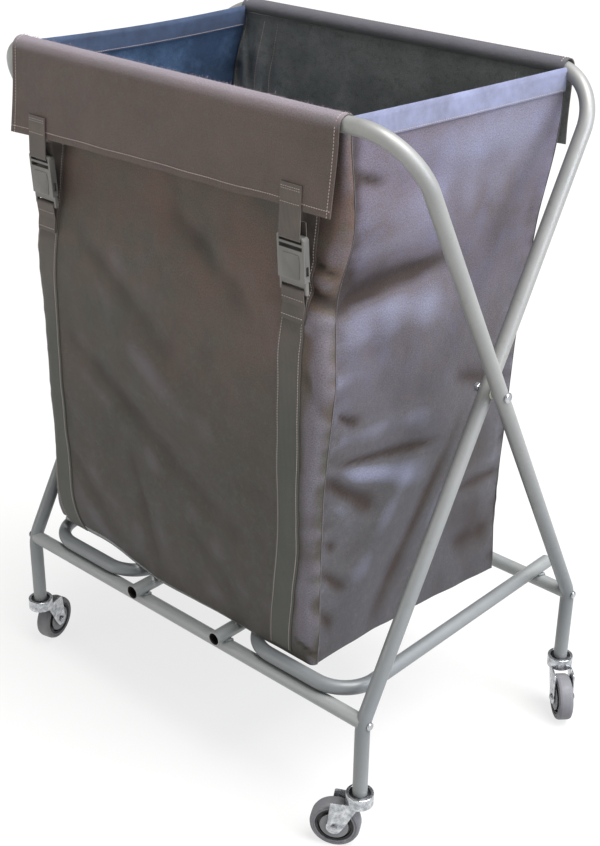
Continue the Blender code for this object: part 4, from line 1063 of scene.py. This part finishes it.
def stitches(name, lines, body=None, pitch=0.0042, radius=0.00042):
    """Short raised stitches along each line."""
    parts = []
    for line in lines:
        points = resampled(line, pitch)
        for here, after in zip(points, points[1:]):
            end = here + (after - here) * STITCH_SHARE
            if (end - here).length < 1e-5:
                continue
            path = [(here + (end - here) * t, Vector()) for t in (0, 0.2, 0.8, 1)]
            rings = swept(path, radius, 6, 0)
            for at in (0, -1):
                centre = path[at][0]
                rings[at] = [centre + (p - centre) * 0.45 for p in rings[at]]
            parts.append(capped(*skin(rings), 6))
    return piece(name, parts, [pale_thread], body, sharp=80)


def tapered(depth, share):
    """A depth on the tape, less near its front end."""
    return depth * (1 - 0.62 * exp(-(share / 0.07) ** 2))


def hem(side, label, tape):
    """The tape's path goes down the outside, over the edge and down the inside."""
    grid = []
    for level in [*np.linspace(HEM_DEPTH, 0.002, 9), "top", *np.linspace(0.002, HEM_DEPTH, 9)]:
        outside = len(grid) < 9
        row = []
        for share in np.linspace(0.0, 1.0, 70):
            depth = 0.0 if level == "top" else tapered(level, share)
            edge = side_point(share, SIDE_TOP - depth, side)
            lift = 0.0 if level == "top" else (0.0022 if outside else -0.0022)
            waver = 0.0004 * noise.noise(Vector((share * 30, depth * 60, side)))
            row.append((edge.x + side * (lift + waver), edge.y, edge.z + (0.0020 if level == "top" else 0)))
        grid.append(row)
    grid = np.array(grid)[:, ::side]
    made = shell(f"bag_{label}_hem_tape", grid, HEM_TAPE, [tape, tape], None, ())
    between(made)
    lines = []
    for lift in (0.0034, -0.0034):
        off = Vector((side * lift, 0, 0))
        lines.append([side_point(s, SIDE_TOP - tapered(HEM_STITCH_DEPTH, s), side) + off
                      for s in np.linspace(0.01, 0.99, 60)])
    between(stitches(f"bag_{label}_hem_stitches", lines))
    return made


right_hem, left_hem = hem(1, "right", hem_tape), hem(-1, "left", inner_tape)

# ---- Corner seams -------------------------------------------------------------------------------
# The front and rear panels are joined to the sides by four upright seams, each closed with a row of
# dark cord that stands a little proud.

SEAM_CORD_R = 0.0010

dark_thread = spun("dark_seam_thread", "#3a3233", "#272324")


def corner_seams():
    sewn = (("front", "outer_frame", (("left", front_grid[:, 0]), ("right", front_grid[:, -1]))),
            ("rear", "inner_frame", (("right", rear_grid[:, 0]), ("left", rear_grid[:, -1]))))
    for end, body, edges in sewn:
        for label, line in edges:
            push = np.array([0.0004 if label == "right" else -0.0004, 0, 0])
            path = [(p, Vector()) for p in resampled(line + push, 0.004)]
            cord = capped(*skin(swept(path, SEAM_CORD_R, 8, 0)), 8)
            piece(f"{end}_{label}_corner_seam", [cord], [dark_thread], body, sharp=80)


corner_seams()

# ---- Flaps --------------------------------------------------------------------------------------
# Each end of the bag is closed round its bar by a flap of the same nylon: over the bar and 130 mm
# down outside. Hems are turned and sewn with pale thread, and the rear one has a pale row inside.

FLAP_CLOTH, FLAP_SLACK, FLAP_TUCK = 0.0015, 0.003, 0.006
FLAP_LEAN = 0.012           # its lower edge is this much higher at one end
SOFT_ROWS, SKIRT_ROWS, CREST_ROW, SEWN_ROW, RAW_EDGE_ROW = 22, 26, 33, 34, 36

flap_cloth = cloth("taupe_flap_nylon", "#4c413a", "#574943", "#61534d", "#3a332f", "#948e98", low="#574943",
                   sheen=0.15, rough=0.50, crumple=0.0008, slub=0.22)
# The coated side where it rolls over the rear bar: drawn darker than on the flat as painted shade, and
# duller.
shaded_roll_lining = cloth("roll_lining_painted_shade", "#414443", "#494b4b", "#535555", rough=0.75, sheen=0.05)


def flap_line(outward, drop_low, flare):
    """Down outside, over the bar and just inside it, as depths and heights."""
    low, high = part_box("outer_frame_tube" if outward < 0 else "inner_frame_tube")
    bar_y, bar_z = (abs(low.y) if outward < 0 else high.y) - TUBE_R, high.z - TUBE_R
    r = TUBE_R + FLAP_SLACK + FLAP_CLOTH / 2
    centre = bar_z + TUBE_R + 0.00105 - r
    skirt = [(bar_y + r + flare * (1 - t) ** 2, drop_low + (centre - drop_low) * t)
             for t in np.linspace(0, 1, SKIRT_ROWS)]
    arch = [(bar_y + r * cos(a), centre + r * sin(a)) for a in np.radians(range(10, 181, 10))]
    tuck = [(bar_y - r, centre - 0.003), (bar_y - r, bar_z - FLAP_TUCK)]
    return skirt + arch + tuck


def flap(end, outward, body):
    low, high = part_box(f"{end}_flap")
    left, right = low.x, high.x
    lines = []
    for s in columns(right - left, 0.008, 0.002):
        x = left + s
        lean = 0.5 - (high.x - x) / (right - left)
        hem_z = low.z + FLAP_LEAN * lean + 0.0016 * noise.noise(Vector((x * 14, 0, outward)))
        ends = exp(-s / 0.045) + exp(-(right - left - s) / 0.05)
        flare = 0.0048 * ends + 0.0012 + 0.0012 * noise.noise(Vector((x * 9, 1, outward)))
        line = flap_line(outward, hem_z, max(0.0, flare))
        column = []
        for n, (depth, z) in enumerate(line):
            soft = 0.0011 * noise.noise(Vector((x * 11, z * 13, outward * 3))) if n < SOFT_ROWS else 0.0
            hanging = 1 - min(1.0, (z - low.z) / 0.12) if n < SKIRT_ROWS else 0.0
            spread = (-0.010 if x < 0 else -0.006) * ends * hanging
            column.append((x + spread, outward * (depth + max(-0.0004, soft)), z))
        lines.append(column)
    grid = np.array(lines).transpose(1, 0, 2)
    if outward > 0:
        grid = grid[:, ::-1]
    # Painted highlight: a pale band along the front flap's crest over its bar.
    crest_highlight_rows = [-0.9 * exp(-((n - CREST_ROW) / 3.2) ** 2) * (outward < 0) for n in range(len(grid))]
    crest_highlight = np.array([[share] * len(lines) for share in crest_highlight_rows])
    made = shell(f"{end}_flap_cloth", grid, FLAP_CLOTH, [flap_cloth, dark_lining, shaded_roll_lining], body,
                 [f"{end}_flap"], crest_highlight)
    # Faces of the rear flap over its bar take the darker roll lining, a painted shade.
    if outward > 0:
        bar_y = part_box("inner_frame_tube")[1].y - TUBE_R
        for facet in made.data.polygons:
            if facet.center.y < bar_y + 0.003 and facet.center.z > 1.02:
                facet.material_index = 2
    push = Vector((0, outward * 0.0010, 0))

    def hem_line(row):
        return [Vector(p) + push for p in grid[row]]

    def side_line(share):
        at = share if share >= 0 else len(grid[0]) + share
        up = Vector((0, 0, 0.0010))
        return [Vector(p) + (push if n < SKIRT_ROWS else up) for n, p in enumerate(grid[:40, at])]

    lines = [hem_line(2), side_line(3), side_line(-4)]
    if outward > 0:
        lines.append([Vector(p) + Vector((0, 0, 0.0012)) for p in grid[SEWN_ROW]])
    stitches(f"{end}_flap_stitches", lines, body, radius=0.0006)
    return made, grid


front_flap, front_flap_grid = flap("front", -1, "outer_frame")
rear_flap, rear_flap_grid = flap("rear", 1, "inner_frame")

# ---- Frayed edge of the front flap --------------------------------------------------------------
# The front flap's inner edge was cut and never hemmed. Its threads have worked loose into fine pale
# fibres along the bar, longer in a few tufts.

FIBRES = 620


def frayed_edge():
    draw, parts = Random(7), []
    row = front_flap_grid[RAW_EDGE_ROW]
    for _ in range(FIBRES):
        at = draw.random() * (len(row) - 1)
        here = Vector(row[int(at)]).lerp(Vector(row[min(int(at) + 1, len(row) - 1)]), at % 1)
        length = 0.0016 + 0.0024 * draw.random() ** 2 + (0.0035 if draw.random() < 0.04 else 0)
        way = Vector((draw.uniform(-1.3, 1.3), draw.uniform(0.1, 1.0), draw.uniform(0.5, 1.2))).normalized()
        bend = Vector((draw.uniform(-1, 1), draw.uniform(-0.4, 1), draw.uniform(-0.8, 0.4))) * length * 0.5
        path = [(here + way * length * t + bend * t * t, Vector()) for t in (0, 0.4, 0.75, 1)]
        parts.append(skin(swept(path, 0.00013, 3, 0)))
    fibre = spun("frayed_nylon_fibre", "#a8979f", "#6f6066")
    piece("front_flap_frayed_fibres", parts, [fibre], "outer_frame", sharp=80)


frayed_edge()

# ---- Straps, webbing and buckles ----------------------------------------------------------------
# Two straps a side: a short strap sewn to the flap holds the socket, and a webbing sewn down the
# bag holds the plug. The side-release buckles are moulded in grey-brown acetal.

BUCKLE_SEAT_Z, SOCKET_HEIGHT, SOCKET_HALF = 0.840, 0.060, 0.005
STRAP_WIDTH, STRAP_CLOTH, SEWN_WIDTH, SEWN_CLOTH, LOOP_WIDTH = 0.036, 0.0015, 0.042, 0.0013, 0.038

webbing_cloth = ribbed("taupe_webbing", "#4c4741", "#5c514a", sheen=0.15, low="#353b34")


def buckle_plastic():
    """Moulded acetal: satin, slightly waxy, and worn pale and shiny on its edges.

    The mould's grain is about 0.1 mm. It is drawn at 0.67 mm, or it wouldn't show.
    """
    made, tree, shader = surface("grey_brown_acetal", Specular_IOR_Level=0.45)
    where = wire(tree, "TexCoord").outputs["Object"]
    edges = wire(tree, "NewGeometry").outputs["Pointiness"]
    cloud = wire(tree, "TexNoise", (where, per_metre(16.7), 4))
    polish = wire(tree, "TexNoise", (where, per_metre(4.17), 3))
    gloss = wire(tree, "MapRange", (polish, 0.3, 0.7, 0.34, 0.48))
    pits = wire(tree, "TexNoise", (where, per_metre(0.667), 2))
    pits = wire(tree, "Bump", {"Height": pits, "Distance": 0.00005})
    tone = painted(tree, "#4e4f4b", (cloud, 0, 1, 0, 1, "#5b5a57"), (edges, 0.52, 0.60, 0, 0.5, "#84827f"))
    wire(tree, shader, {"Base Color": tone, "Roughness": gloss, "Normal": pits})
    return made


acetal = buckle_plastic()


def depth_on(grid, x, z):
    """The depth of a sheet at the point of it nearest to a place seen square on."""
    flat = grid.reshape(-1, 3)
    return float(flat[np.argmin((flat[:, 0] - x) ** 2 + (flat[:, 2] - z) ** 2), 1])


def strap_rows(path, x, width, radii=0.0010):
    """Rows across a flat strap along a route of (y, z) points, its corners eased."""
    line = rounded([Vector((0, y, z)) for y, z in path], [radii] * (len(path) - 2), radians(20))
    points = resampled([p for p, _ in line], 0.0016)
    wavers = [0.0004 * noise.noise(Vector((n * 0.11, x * 9, 1))) for n in range(len(points))]
    return np.array([[(x + width * a + w, p.y, p.z) for a in np.linspace(-0.5, 0.5, 13)]
                     for p, w in zip(points, wavers)])


def sewn_rows(outward, x, drift, low, high):
    """Rows across a strap that follows its panel, round the corner too where it reaches one."""
    grid = []
    for z in np.arange(low, high, 0.004):
        row = []
        for a in np.linspace(-0.5, 0.5, 13):
            at = x + drift(z) + SEWN_WIDTH * a
            if outward < 0:
                left, right, r = [keyed(z, keys) for keys in (LEFT_FRONT, RIGHT_FRONT, CORNER_R)]
                arc = r * pi / 2
                whole = right - left - 2 * r + 2 * arc
                share = max(0.0, at - left - r + arc) / whole
                here, beside = front_point(share, z), front_point(min(1.0, share + 0.002), z)
                way = Vector((beside.y - here.y, here.x - beside.x, 0)).normalized()
            else:
                left, right = keyed(z, LEFT_REAR), keyed(z, RIGHT_REAR)
                here, way = rear_point((at - left) / (right - left), z), Vector((0, 1, 0))
            row.append(here + way * 0.0014)
        grid.append(row)
    return np.array([[tuple(p) for p in row] for row in grid])


def buckle_set(end, outward, label, body, flap_grid, drift):
    socket_low, socket_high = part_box(f"{end}_{label}_buckle_socket")
    x = (socket_low.x + socket_high.x) / 2
    joint = next(j for j in frame["joints"] if j["name"] == f"{end}_{label}_buckle_unclips")
    up = Vector(joint["axis"]).normalized()
    up = up if up.z > 0 else -up
    out = (Vector((0, outward, 0)) - up * up.dot(Vector((0, outward, 0)))).normalized()
    lean = atan2(abs(up.y), up.z)
    outermost = max(abs(socket_low.y), abs(socket_high.y))
    seat_depth = outermost - SOCKET_HEIGHT * sin(lean) - SOCKET_HALF * cos(lean)
    seat = Vector((x, outward * seat_depth, BUCKLE_SEAT_Z))

    def local(across, along):
        """Depth and height of a place on the buckle."""
        p = seat + out * across + up * along
        return p.y, p.z

    flap_low, flap_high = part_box(f"{end}_flap")
    hem_z = flap_low.z + FLAP_LEAN * (0.5 - (flap_high.x - x) / (flap_high.x - flap_low.x))
    lap = [outward * (max(abs(depth_on(flap_grid, x + s, z)) for s in (-0.015, 0, 0.015)) + 0.0020)
           for z in (hem_z + 0.031, hem_z + 0.004)]
    bar_out, plug_out = SOCKET_HALF + 0.0011, 0.0024 + 0.0011
    strap = [(lap[0], hem_z + 0.031), (lap[1], hem_z + 0.002), local(bar_out, 0.0635), local(bar_out, 0.0554),
             local(-bar_out, 0.0554), local(-bar_out, 0.078)]
    made = shell(f"{end}_{label}_flap_strap_webbing", strap_rows(strap, x, STRAP_WIDTH), STRAP_CLOTH,
                 [webbing_cloth] * 2, None, [f"{end}_{label}_flap_strap"])
    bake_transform(made)

    sewn = sewn_rows(outward, x, drift, 0.2625, 0.934)
    shell(f"{end}_{label}_panel_webbing", sewn, SEWN_CLOTH, [webbing_cloth] * 2, body,
          [f"{end}_{label}_webbing"])

    def over(z):
        """Just outside the sewn webbing."""
        return outward * (abs(depth_on(sewn, x, z)) + 0.0017)

    loop = [(over(0.784), 0.784), (over(0.796), 0.796), local(-plug_out, -0.0215), local(-plug_out, -0.0124),
            local(plug_out, -0.0124), local(plug_out, -0.0215), local(plug_out * 0.75, -0.0360),
            (over(0.787) + outward * 0.0022, 0.790), (over(0.783) + outward * 0.0020, 0.7826)]
    looped = strap_rows(loop, x, LOOP_WIDTH)
    shell(f"{end}_{label}_plug_loop", looped, STRAP_CLOTH, [webbing_cloth] * 2, body, ())

    for node in (f"{end}_{label}_buckle_socket", f"{end}_{label}_buckle_plug"):
        shown = frame["nodes"][node]
        shown.data.materials.clear()
        shown.data.materials.append(acetal)
        shown.data.set_sharp_from_angle(angle=radians(30))
        soft = shown.modifiers.new("moulded_edges", "BEVEL")
        soft.width, soft.segments, soft.limit_method, soft.angle_limit = 0.0006, 3, "ANGLE", radians(40)
    pad = [(-0.0140, 0.004), (-0.0125, 0.0015), (0.0125, 0.0015), (0.0140, 0.004), (0.0155, 0.024),
           (0.0140, 0.034), (0.0125, 0.036), (-0.0125, 0.036), (-0.0140, 0.034), (-0.0155, 0.024)]
    basis = Matrix(((1, out.x, up.x, 0), (0, out.y, up.y, 0), (0, out.z, up.z, 0), (0, 0, 0, 1)))
    place = Matrix.Translation(seat) @ basis @ Matrix.Translation((0, 0.0053, 0))
    pressed = plate(pad, 0.0012, place, 0.0005)
    piece(f"{end}_{label}_socket_pad", [pressed], [acetal], f"{end}_{label}_buckle")

    lines = [[(x + reach, lap[n] + outward * 0.0011, hem_z + rise) for reach in (-0.0165, 0.0165)]
             for n, rise in ((0, 0.0265), (0, 0.0235), (1, 0.0065))]
    stitches(f"{end}_{label}_strap_box_stitches", lines, body, pitch=0.0036)
    proud = Vector((0, outward * 0.0011, 0))
    edges = [[Vector(p) + proud for p in sewn[:, column]] for column in (1, -2)]
    front_of_loop = looped[len(looped) * 3 // 5:]
    for height in (0.8130, 0.7895):
        row = front_of_loop[np.argmin(abs(front_of_loop[:, 0, 2] - height))]
        edges.append([Vector(row[0]) + proud, Vector(row[-1]) + proud])
    stitches(f"{end}_{label}_webbing_stitches", edges, body, pitch=0.0040, radius=0.00055)


def slid_left(z):
    """Use has pulled the front right webbing aside low down."""
    return keyed(z, [(0.82, 0.0), (0.74, -0.0045), (0.60, -0.002), (0.43, -0.0035), (0.335, -0.013),
                     (0.262, -0.023)])


def bowed(z):
    """The front left webbing bows a little in its middle."""
    return keyed(z, [(0.82, 0.0), (0.74, -0.003), (0.60, -0.0045), (0.47, -0.003), (0.41, 0.0),
                     (0.30, 0.004)])


for label in ("left", "right"):
    buckle_set("front", -1, label, "outer_frame", front_flap_grid,
               slid_left if label == "right" else bowed)
    buckle_set("rear", 1, label, "inner_frame", rear_flap_grid, lambda z: 0.0)

# ---- Stitching inside the rear panel ------------------------------------------------------------
# The rear webbings and the hem of the left seam are sewn right through the panel, and show inside
# the bag as rows of pale stitches.


def inside_seams():
    rows_in = []
    ends = ((-0.3035, -0.331), (-0.2560, -0.2740), (-0.2270, -0.2440), (0.2310, 0.2300), (0.2660, 0.2650))
    for high_x, low_x in ends:
        line = []
        for z in np.linspace(0.30, 1.034, 110):
            lean = max(0.0, min(1.0, (1.034 - z) / 0.09))
            x = max(high_x + (low_x - high_x) * lean, keyed(z, LEFT_REAR) + 0.006)
            line.append((x, depth_on(rear_grid, x, z) - 0.0012, z))
        rows_in.append(line)
    stitches("bag_rear_inside_stitches", rows_in, "inner_frame")


inside_seams()

# ---- Floor and light ----------------------------------------------------------------------------
# A plain pale floor under a large soft light, a cooler one to the right and a warm fill in front.


def stage():
    bpy.ops.mesh.primitive_plane_add(size=40, location=(0, 0, cad_box[0][2]))
    floor = bpy.context.active_object
    floor.name = "floor"
    paper = mottled("pale_floor", "#60605f", "#646463", (500, 2), Roughness=0.75, Emission_Color=(1, 1, 1, 1),
                    Emission_Strength=0.76)
    floor.data.materials.append(paper)
    world = bpy.data.worlds.new("studio")
    bpy.context.scene.world = world
    world.use_nodes = True
    back = world.node_tree.nodes["Background"]
    back.inputs["Color"].default_value = (1.0, 1.0, 1.0, 1.0)
    back.inputs["Strength"].default_value = 0.30
    sky = bpy.data.lights.new("skylight", "SUN")
    sky.energy, sky.angle, sky.color = 6.3, radians(40), (1.0, 0.99, 0.98)
    made = bpy.data.objects.new("skylight", sky)
    made.rotation_euler = Vector((-0.38, -0.10, -1.0)).to_track_quat("-Z", "Y").to_euler()
    bpy.context.scene.collection.objects.link(made)
    for name, place, size, power, colour in (
        ("right_window", (3.0, 0.5, 1.9), 1.6, 84, (0.86, 0.90, 1.0)),
        ("front_fill", (-1.6, -3.0, 1.2), 2.2, 26, (1.0, 0.95, 0.90)),
    ):
        lamp = bpy.data.lights.new(name, "AREA")
        lamp.size, lamp.energy, lamp.color = size, power, colour
        made = bpy.data.objects.new(name, lamp)
        made.location = place
        made.rotation_euler = (Vector((0, 0, 0.6)) - Vector(place)).to_track_quat("-Z", "Y").to_euler()
        bpy.context.scene.collection.objects.link(made)


stage()

# ---- Camera -------------------------------------------------------------------------------------
# A long lens at standing height, three-quarters on from the front right and looking down.


def camera():
    yaw, pitch, roll = radians(42.02), radians(26.73), radians(0.876)
    ahead = Vector((-sin(yaw) * cos(pitch), cos(yaw) * cos(pitch), -sin(pitch)))
    right = ahead.cross(Vector((0, 0, 1))).normalized()
    up = right.cross(ahead)
    right, up = right * cos(roll) + up * sin(roll), up * cos(roll) - right * sin(roll)
    lens = bpy.data.cameras.new("camera")
    lens.lens, lens.sensor_width = 61.23, 36
    made = bpy.data.objects.new("camera", lens)
    made.matrix_world = Matrix((
        (right.x, up.x, -ahead.x, 1.3681),
        (right.y, up.y, -ahead.y, -1.4966),
        (right.z, up.z, -ahead.z, 1.4970),
        (0, 0, 0, 1),
    ))
    bpy.context.scene.collection.objects.link(made)
    bpy.context.scene.camera = made


camera()
bpy.context.scene.view_settings.view_transform = "Standard"
